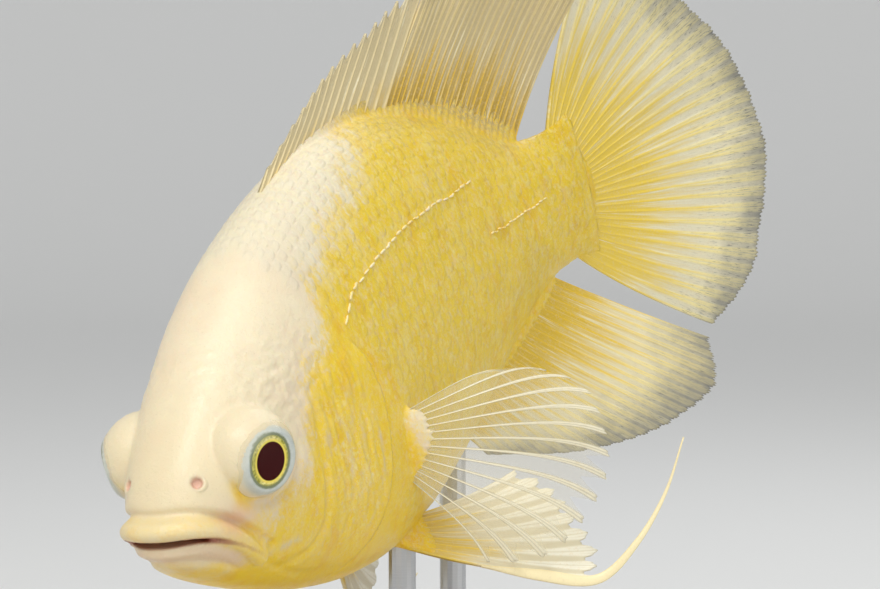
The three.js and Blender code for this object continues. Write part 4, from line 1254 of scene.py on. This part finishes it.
def make_nostrils(material):
    """The single nostril on each side: a low pale ring round a pink pit."""
    outline = spline([(1.5, -0.35), (1.25, 0.02), (1.02, 0.26), (0.84, 0.36), (0.68, 0.33), (0.56, 0.20),
                      (0.50, 0.06), (0.42, -0.06), (0.25, -0.12), (0.02, -0.14)], 40)
    shapes = []
    for side in (1, -1):
        axis = mirrored(NOSTRIL_AXIS, side)
        across = np.cross(axis, (0, 0, 1))
        across /= np.linalg.norm(across)
        over = np.cross(axis, across)
        turn = np.linspace(0, 2 * math.pi, 40, endpoint=False)
        round_ = np.cos(turn)[:, None] * across + np.sin(turn)[:, None] * over
        shapes.append(closed_grid(mirrored(NOSTRIL, side) + outline[:, 0, None, None] * round_[None]
                                  + outline[:, 1, None, None] * axis))
    points, faces = join_shapes(shapes)
    rims = link_mesh("nostrils", to_world(points), faces)
    dress(rims, points, markings(points), 0 * points, material)
    return rims


# ---- Eyes ----

def eye_frame(side):
    gaze = mirrored(GAZE, side)
    up = np.array([0, 0, 1.0]) - gaze * gaze[2]
    up /= np.linalg.norm(up)
    ahead = np.cross(up, gaze) * side
    return gaze, up, ahead


def eye_shell(name, side, radius_at, last, rows, count, material):
    """A dome round the gaze. radius_at gives its distance from the eye's centre at each angle off the gaze."""
    gaze, up, ahead = eye_frame(side)
    off = np.linspace(0.004, last, rows)[:, None]
    turn = np.linspace(0, 2 * math.pi, count, endpoint=False)[None, :]
    radius = radius_at(off, turn) + 0 * turn
    flat_up, flat_ahead = np.sin(off) * np.sin(turn), np.sin(off) * np.cos(turn)
    rings = (mirrored(EYE_CENTRE, side) + radius[..., None] * (np.cos(off) * np.ones_like(turn))[..., None] * gaze
             + radius[..., None] * (flat_up[..., None] * up + flat_ahead[..., None] * ahead))
    points, faces = closed_grid(rings)
    shell = link_mesh(name, to_world(points), faces)
    values = np.stack([flat_ahead * radius, flat_up * radius, radius], axis=-1).reshape(-1, 3) / EYE_RADIUS
    ends = np.array([[0, 0, 1.0], values[-1]])
    keep_values(shell, "eye", np.concatenate([values, ends]))
    keep_values(shell, "straight", points / 100)
    shell.data.materials.append(material)
    return shell


EYE_MILK = (0.78, 0.80, 0.72, 1)
EYE_GREY = (0.52, 0.58, 0.57, 1)
EYELID = (0.90, 0.80, 0.58, 1)
IRIS_OLIVE = (0.30, 0.30, 0.05, 1)
IRIS_YELLOW = (0.74, 0.68, 0.16, 1)
IRIS_RIM = (0.24, 0.27, 0.15, 1)
IRIS_PALE = (0.99, 0.88, 0.40, 1)
PUPIL_GOLD = (0.98, 0.80, 0.14, 1)
PUPIL = (0.045, 0.001, 0.001, 1)


def eye_material():
    """A grey-blue ring, a yellow-green iris with a gold inner edge and a dark maroon pupil, slightly egg-shaped."""
    material, w, shader = new_material("eyeball")
    ahead, up, _ = w.split(w.kept("eye"))
    fibres = w.noise(w.kept("eye"), 14, 4, 0.7)
    wander = w.swing(fibres, 0.06)

    def ring(right, height, tall, skew):
        """Distance in eye radii from a middle off the eye's own, drawn out towards the lower front."""
        a, b = w.less(ahead, right), w.times(w.less(up, height), tall)
        lean = w.times(w.less(a, b), skew)
        return w.less(w.apply("SQRT", w.plus(w.times(a, a), w.times(b, b))), lean)

    outer, inner = ring(0.0, 0.0, 1.0, 0.0), ring(-0.07, 0.08, 0.90, 0.03)
    dark = ring(-0.055, 0.06, 0.88, 0.05)
    blue = w.blend(w.noise(w.kept("eye"), 5, 3), EYE_MILK, EYE_GREY)
    skin = w.blend(w.span(outer, 0.74, 0.86), blue, EYELID)
    olive = w.blend(w.span(fibres, 0.38, 0.62), IRIS_OLIVE, IRIS_YELLOW)
    rim = w.blend(w.span(w.plus(inner, wander), 0.50, 0.54), olive, IRIS_RIM)
    iris = w.blend(w.span(w.plus(inner, wander), 0.56, 0.61), rim, skin)
    ends = w.span(w.apply("ABSOLUTE", w.less(up, 0.06)), 0.30, 0.42)
    ends = w.times(ends, w.span(inner, 0.47, 0.53, 1.0, 0.0))
    iris = w.blend(w.times(ends, w.span(fibres, 0.35, 0.6, 0.3, 0.95)), iris, IRIS_PALE)
    gold = w.blend(w.span(w.plus(dark, wander), 0.41, 0.48), PUPIL_GOLD, iris)
    pupil = w.blend(w.span(dark, 0.385, 0.405), PUPIL, gold)
    w.put(shader.inputs["Base Color"], pupil)
    shader.inputs["Roughness"].default_value = 0.4
    shader.inputs["Specular IOR Level"].default_value = 0.06
    w.put(shader.inputs["Normal"], w.bump(w.times(fibres, w.span(dark, 0.38, 0.5)), 0.4, 0.0005))
    return material


def cornea_material():
    """Clear over the pupil and iris, milky towards its rim."""
    material, w, shader = new_material("cornea")
    ahead, up, _ = w.split(w.kept("eye"))
    away = w.apply("SQRT", w.plus(w.times(ahead, ahead), w.times(up, up)))
    w.put(shader.inputs["Alpha"], w.span(away, 0.56, 0.80, 0.008, 0.28))
    w.put(shader.inputs["Base Color"], w.blend(w.span(away, 0.6, 0.85), (0.60, 0.66, 0.68, 1), (0.88, 0.79, 0.58, 1)))
    shader.inputs["Roughness"].default_value = 0.04
    shader.inputs["IOR"].default_value = 1.4
    return material


def make_eyes():
    ball_finish, clear = eye_material(), cornea_material()
    made = []

    def globe(off, turn):
        return np.minimum(EYE_RADIUS - 0.06, ORBIT_OPENING / np.cos(np.minimum(off, 1.2)))

    def dome(off, turn):
        reach = np.sqrt(np.maximum(CORNEA_RADIUS ** 2 - (CORNEA_OFFSET * np.sin(off)) ** 2, 0))
        return np.maximum(EYE_RADIUS, CORNEA_OFFSET * np.cos(off) + reach)

    for side, word in ((1, "left"), (-1, "right")):
        made.append(eye_shell("eyeball_%s" % word, side, globe, 1.9, 90, 96, ball_finish))
        made.append(eye_shell("cornea_%s" % word, side, dome, 1.25, 50, 96, clear))
    return made


# ---- The stand ----

def oak_material():
    """Oiled oak with long grain, pores and darker bands."""
    material, w, shader = new_material("oiled_oak")
    place = material.node_tree.nodes.new("ShaderNodeTexCoord").outputs["Object"]
    bands = w.noise(place, 14, 5, 0.6, (0.35, 3.2, 3.2))
    rings = w.noise(place, 60, 4, 0.6, (0.12, 4.0, 4.0))
    pores = w.noise(place, 700, 2, 0.5, (0.05, 1.6, 1.6))
    colour = w.blend(w.span(bands, 0.3, 0.72), (0.30, 0.175, 0.085, 1), (0.47, 0.30, 0.155, 1))
    colour = w.blend(w.span(rings, 0.45, 0.65, 0.0, 0.55), colour, (0.24, 0.13, 0.06, 1))
    colour = w.blend(w.span(pores, 0.60, 0.72, 0.0, 0.7), colour, (0.10, 0.055, 0.025, 1))
    w.put(shader.inputs["Base Color"], colour)
    w.put(shader.inputs["Roughness"], w.span(rings, 0.3, 0.7, 0.34, 0.5))
    height = w.less(w.times(rings, 0.4), w.span(pores, 0.58, 0.7))
    w.put(shader.inputs["Normal"], w.bump(height, 0.25, 0.0003))
    return material


def steel_material():
    """Steel rod, brushed round."""
    material, w, shader = new_material("brushed_steel")
    place = material.node_tree.nodes.new("ShaderNodeTexCoord").outputs["Object"]
    brushed = w.noise(place, 900, 3, 0.6, (0.15, 0.15, 4.0))
    soft = w.noise(place, 40, 3, 0.5)
    w.put(shader.inputs["Base Color"], w.blend(brushed, (0.50, 0.51, 0.52, 1), (0.62, 0.62, 0.63, 1)))
    shader.inputs["Metallic"].default_value = 1.0
    w.put(shader.inputs["Roughness"], w.span(soft, 0.3, 0.7, 0.26, 0.36))
    w.put(shader.inputs["Normal"], w.bump(brushed, 0.2, 0.0001))
    return material


# ---- Everything together ----

# Furrow sets the strength of the painted shade between the rays near each fin's root.
FIN_COLOURS = {
    "dorsal": dict(Root=(0.86, 0.56, 0.05, 1), Ray=(0.80, 0.65, 0.30, 1), Web=(0.66, 0.53, 0.28, 1),
                   Margin=(0.30, 0.27, 0.22, 1), Root_reach=0.36, Margin_start=0.8, Margin_amount=0.5,
                   Web_alpha=1.0, Tip_alpha=0.95, Fleck_amount=0.5, Furrow=0.75),
    "spine": dict(Root=(0.84, 0.64, 0.26, 1), Ray=(0.84, 0.70, 0.38, 1), Web=(0.72, 0.60, 0.34, 1),
                  Root_reach=0.22, Margin_start=0.85, Margin_amount=0.3, Web_alpha=1.0, Tip_alpha=0.95,
                  Fleck_amount=0.5, Furrow=0.2),
    "anal": dict(Ray=(0.90, 0.76, 0.32, 1), Web=(0.82, 0.74, 0.48, 1), Root_reach=0.56, Margin_start=0.66,
                 Margin_amount=0.95, Web_alpha=1.0, Tip_alpha=0.85, Fleck_amount=0.6, Furrow=0.25),
    "tail": dict(Root=(0.93, 0.68, 0.08, 1), Ray=(0.92, 0.80, 0.36, 1), Web=(0.84, 0.78, 0.56, 1),
                 Root_reach=0.62, Margin_start=0.76, Margin_amount=0.95, Web_alpha=1.0, Tip_alpha=0.88,
                 Fleck_amount=0.75, Furrow=0.15),
    "pectoral": dict(Root=(0.90, 0.80, 0.50, 1), Ray=(0.92, 0.87, 0.68, 1), Web=(0.84, 0.78, 0.56, 1),
                     Root_reach=0.12, Margin_start=0.9, Margin_amount=0.1, Web_alpha=0.14, Tip_alpha=0.8,
                     Fleck_amount=0.0),
    "pelvic": dict(Root=(0.90, 0.66, 0.10, 1), Ray=(0.94, 0.91, 0.76, 1), Web=(0.78, 0.71, 0.50, 1),
                   Root_reach=0.42, Margin_start=0.9, Margin_amount=0.1, Web_alpha=0.98, Tip_alpha=0.9,
                   Fleck_amount=0.0, Furrow=0.3),
}
FINS = [  # name, node, sheet, its first and last place, rays, colours, (web, ray, notch, wave, seed), more
    ("dorsal_spines", "dorsal_fin_spines", dorsal_at, 38, 65.6, 15, "spine", (0.6, 0.9, 0.09, 0.15, 3),
     dict(rows=60, per=16, spiny=True)),
    ("dorsal_rays", "dorsal_fin_rays", dorsal_at, 65.7, 89.5, 26, "dorsal", (0.6, 0.65, 0.010, 0.25, 5), {}),
    ("anal_web", "anal_fin", anal_at, 65, 90.5, 26, "anal", (0.65, 0.5, 0.008, 0.25, 8), {}),
    ("tail_web", "tail_fin", tail_at, -1, 1, 30, "tail", (0.7, 0.45, 0.006, 0.25, 11), dict(rows=76)),
    ("pectoral_web_left", "pectoral_fin_left", pectoral_left, -1, 1, 14, "pectoral", (0.3, 0.7, 0.10, 0.3, 14),
     dict(per=24, slim=0.34)),
    ("pectoral_web_right", "pectoral_fin_right", pectoral_right, -1, 1, 14, "pectoral", (0.3, 0.7, 0.10, 0.3, 15),
     dict(per=24, slim=0.34)),
    ("pelvic_web_left", "pelvic_fin_left", pelvic_left, -1, 1, 9, "pelvic", (0.55, 1.0, 0.06, 0.3, 17),
     dict(per=16)),
    ("pelvic_web_right", "pelvic_fin_right", pelvic_right, -1, 1, 9, "pelvic", (0.55, 1.0, 0.06, 0.3, 18),
     dict(per=16)),
]
THREADS = [  # name, node, sheet, the thread's bends from its root
    ("pelvic_thread_left", "pelvic_filament_left", pelvic_left,
     [(-4.8, 4.2, 2.9), (-10.3, 6.8, 7.2), (-15, 8.4, 12.4)]),
    ("pelvic_thread_right", "pelvic_filament_right", pelvic_right, [(-4, -1, -3), (-10, -2, -3.5), (-17, -2.5, -2)]),
]

set_stage(set_camera())
marked = skin_markings_group()
webbed = fin_group()

wet_skin = skin_material(marked)
skin = make_skin(wet_skin)
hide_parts("head", "trunk", "tail_stalk", "upper_lip", "lower_lip", "gill_cover_left", "gill_cover_right")
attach(skin, "root")

for coat in make_scales(scale_material(marked)):
    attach(coat, "root")
rims = make_nostrils(wet_skin)
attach(rims, "root")
line = make_lateral_line(tube_material(marked))
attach(line, "root")

for part in make_eyes():
    word = part.name.split("_")[1]
    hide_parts("eye_" + word)
    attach(part, "root")

finishes = {name: fin_material(name + "_web", webbed, **values) for name, values in FIN_COLOURS.items()}
fins = [(make_fin(name, at, first, last, rays, finishes[finish], *sizes, **more), node)
        for name, node, at, first, last, rays, finish, sizes, more in FINS]
fins += [(make_filament(name, at, bends, finishes["pelvic"]), node) for name, node, at, bends in THREADS]
for fin, node in fins:
    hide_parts(node)
    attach(fin, "root")

oak, steel = oak_material(), steel_material()
for node, finish in (("stand_base", oak), ("stand_rod_front", steel), ("stand_rod_rear", steel)):
    thing = frame["nodes"][node]
    thing.data.materials.clear()
    thing.data.materials.append(finish)
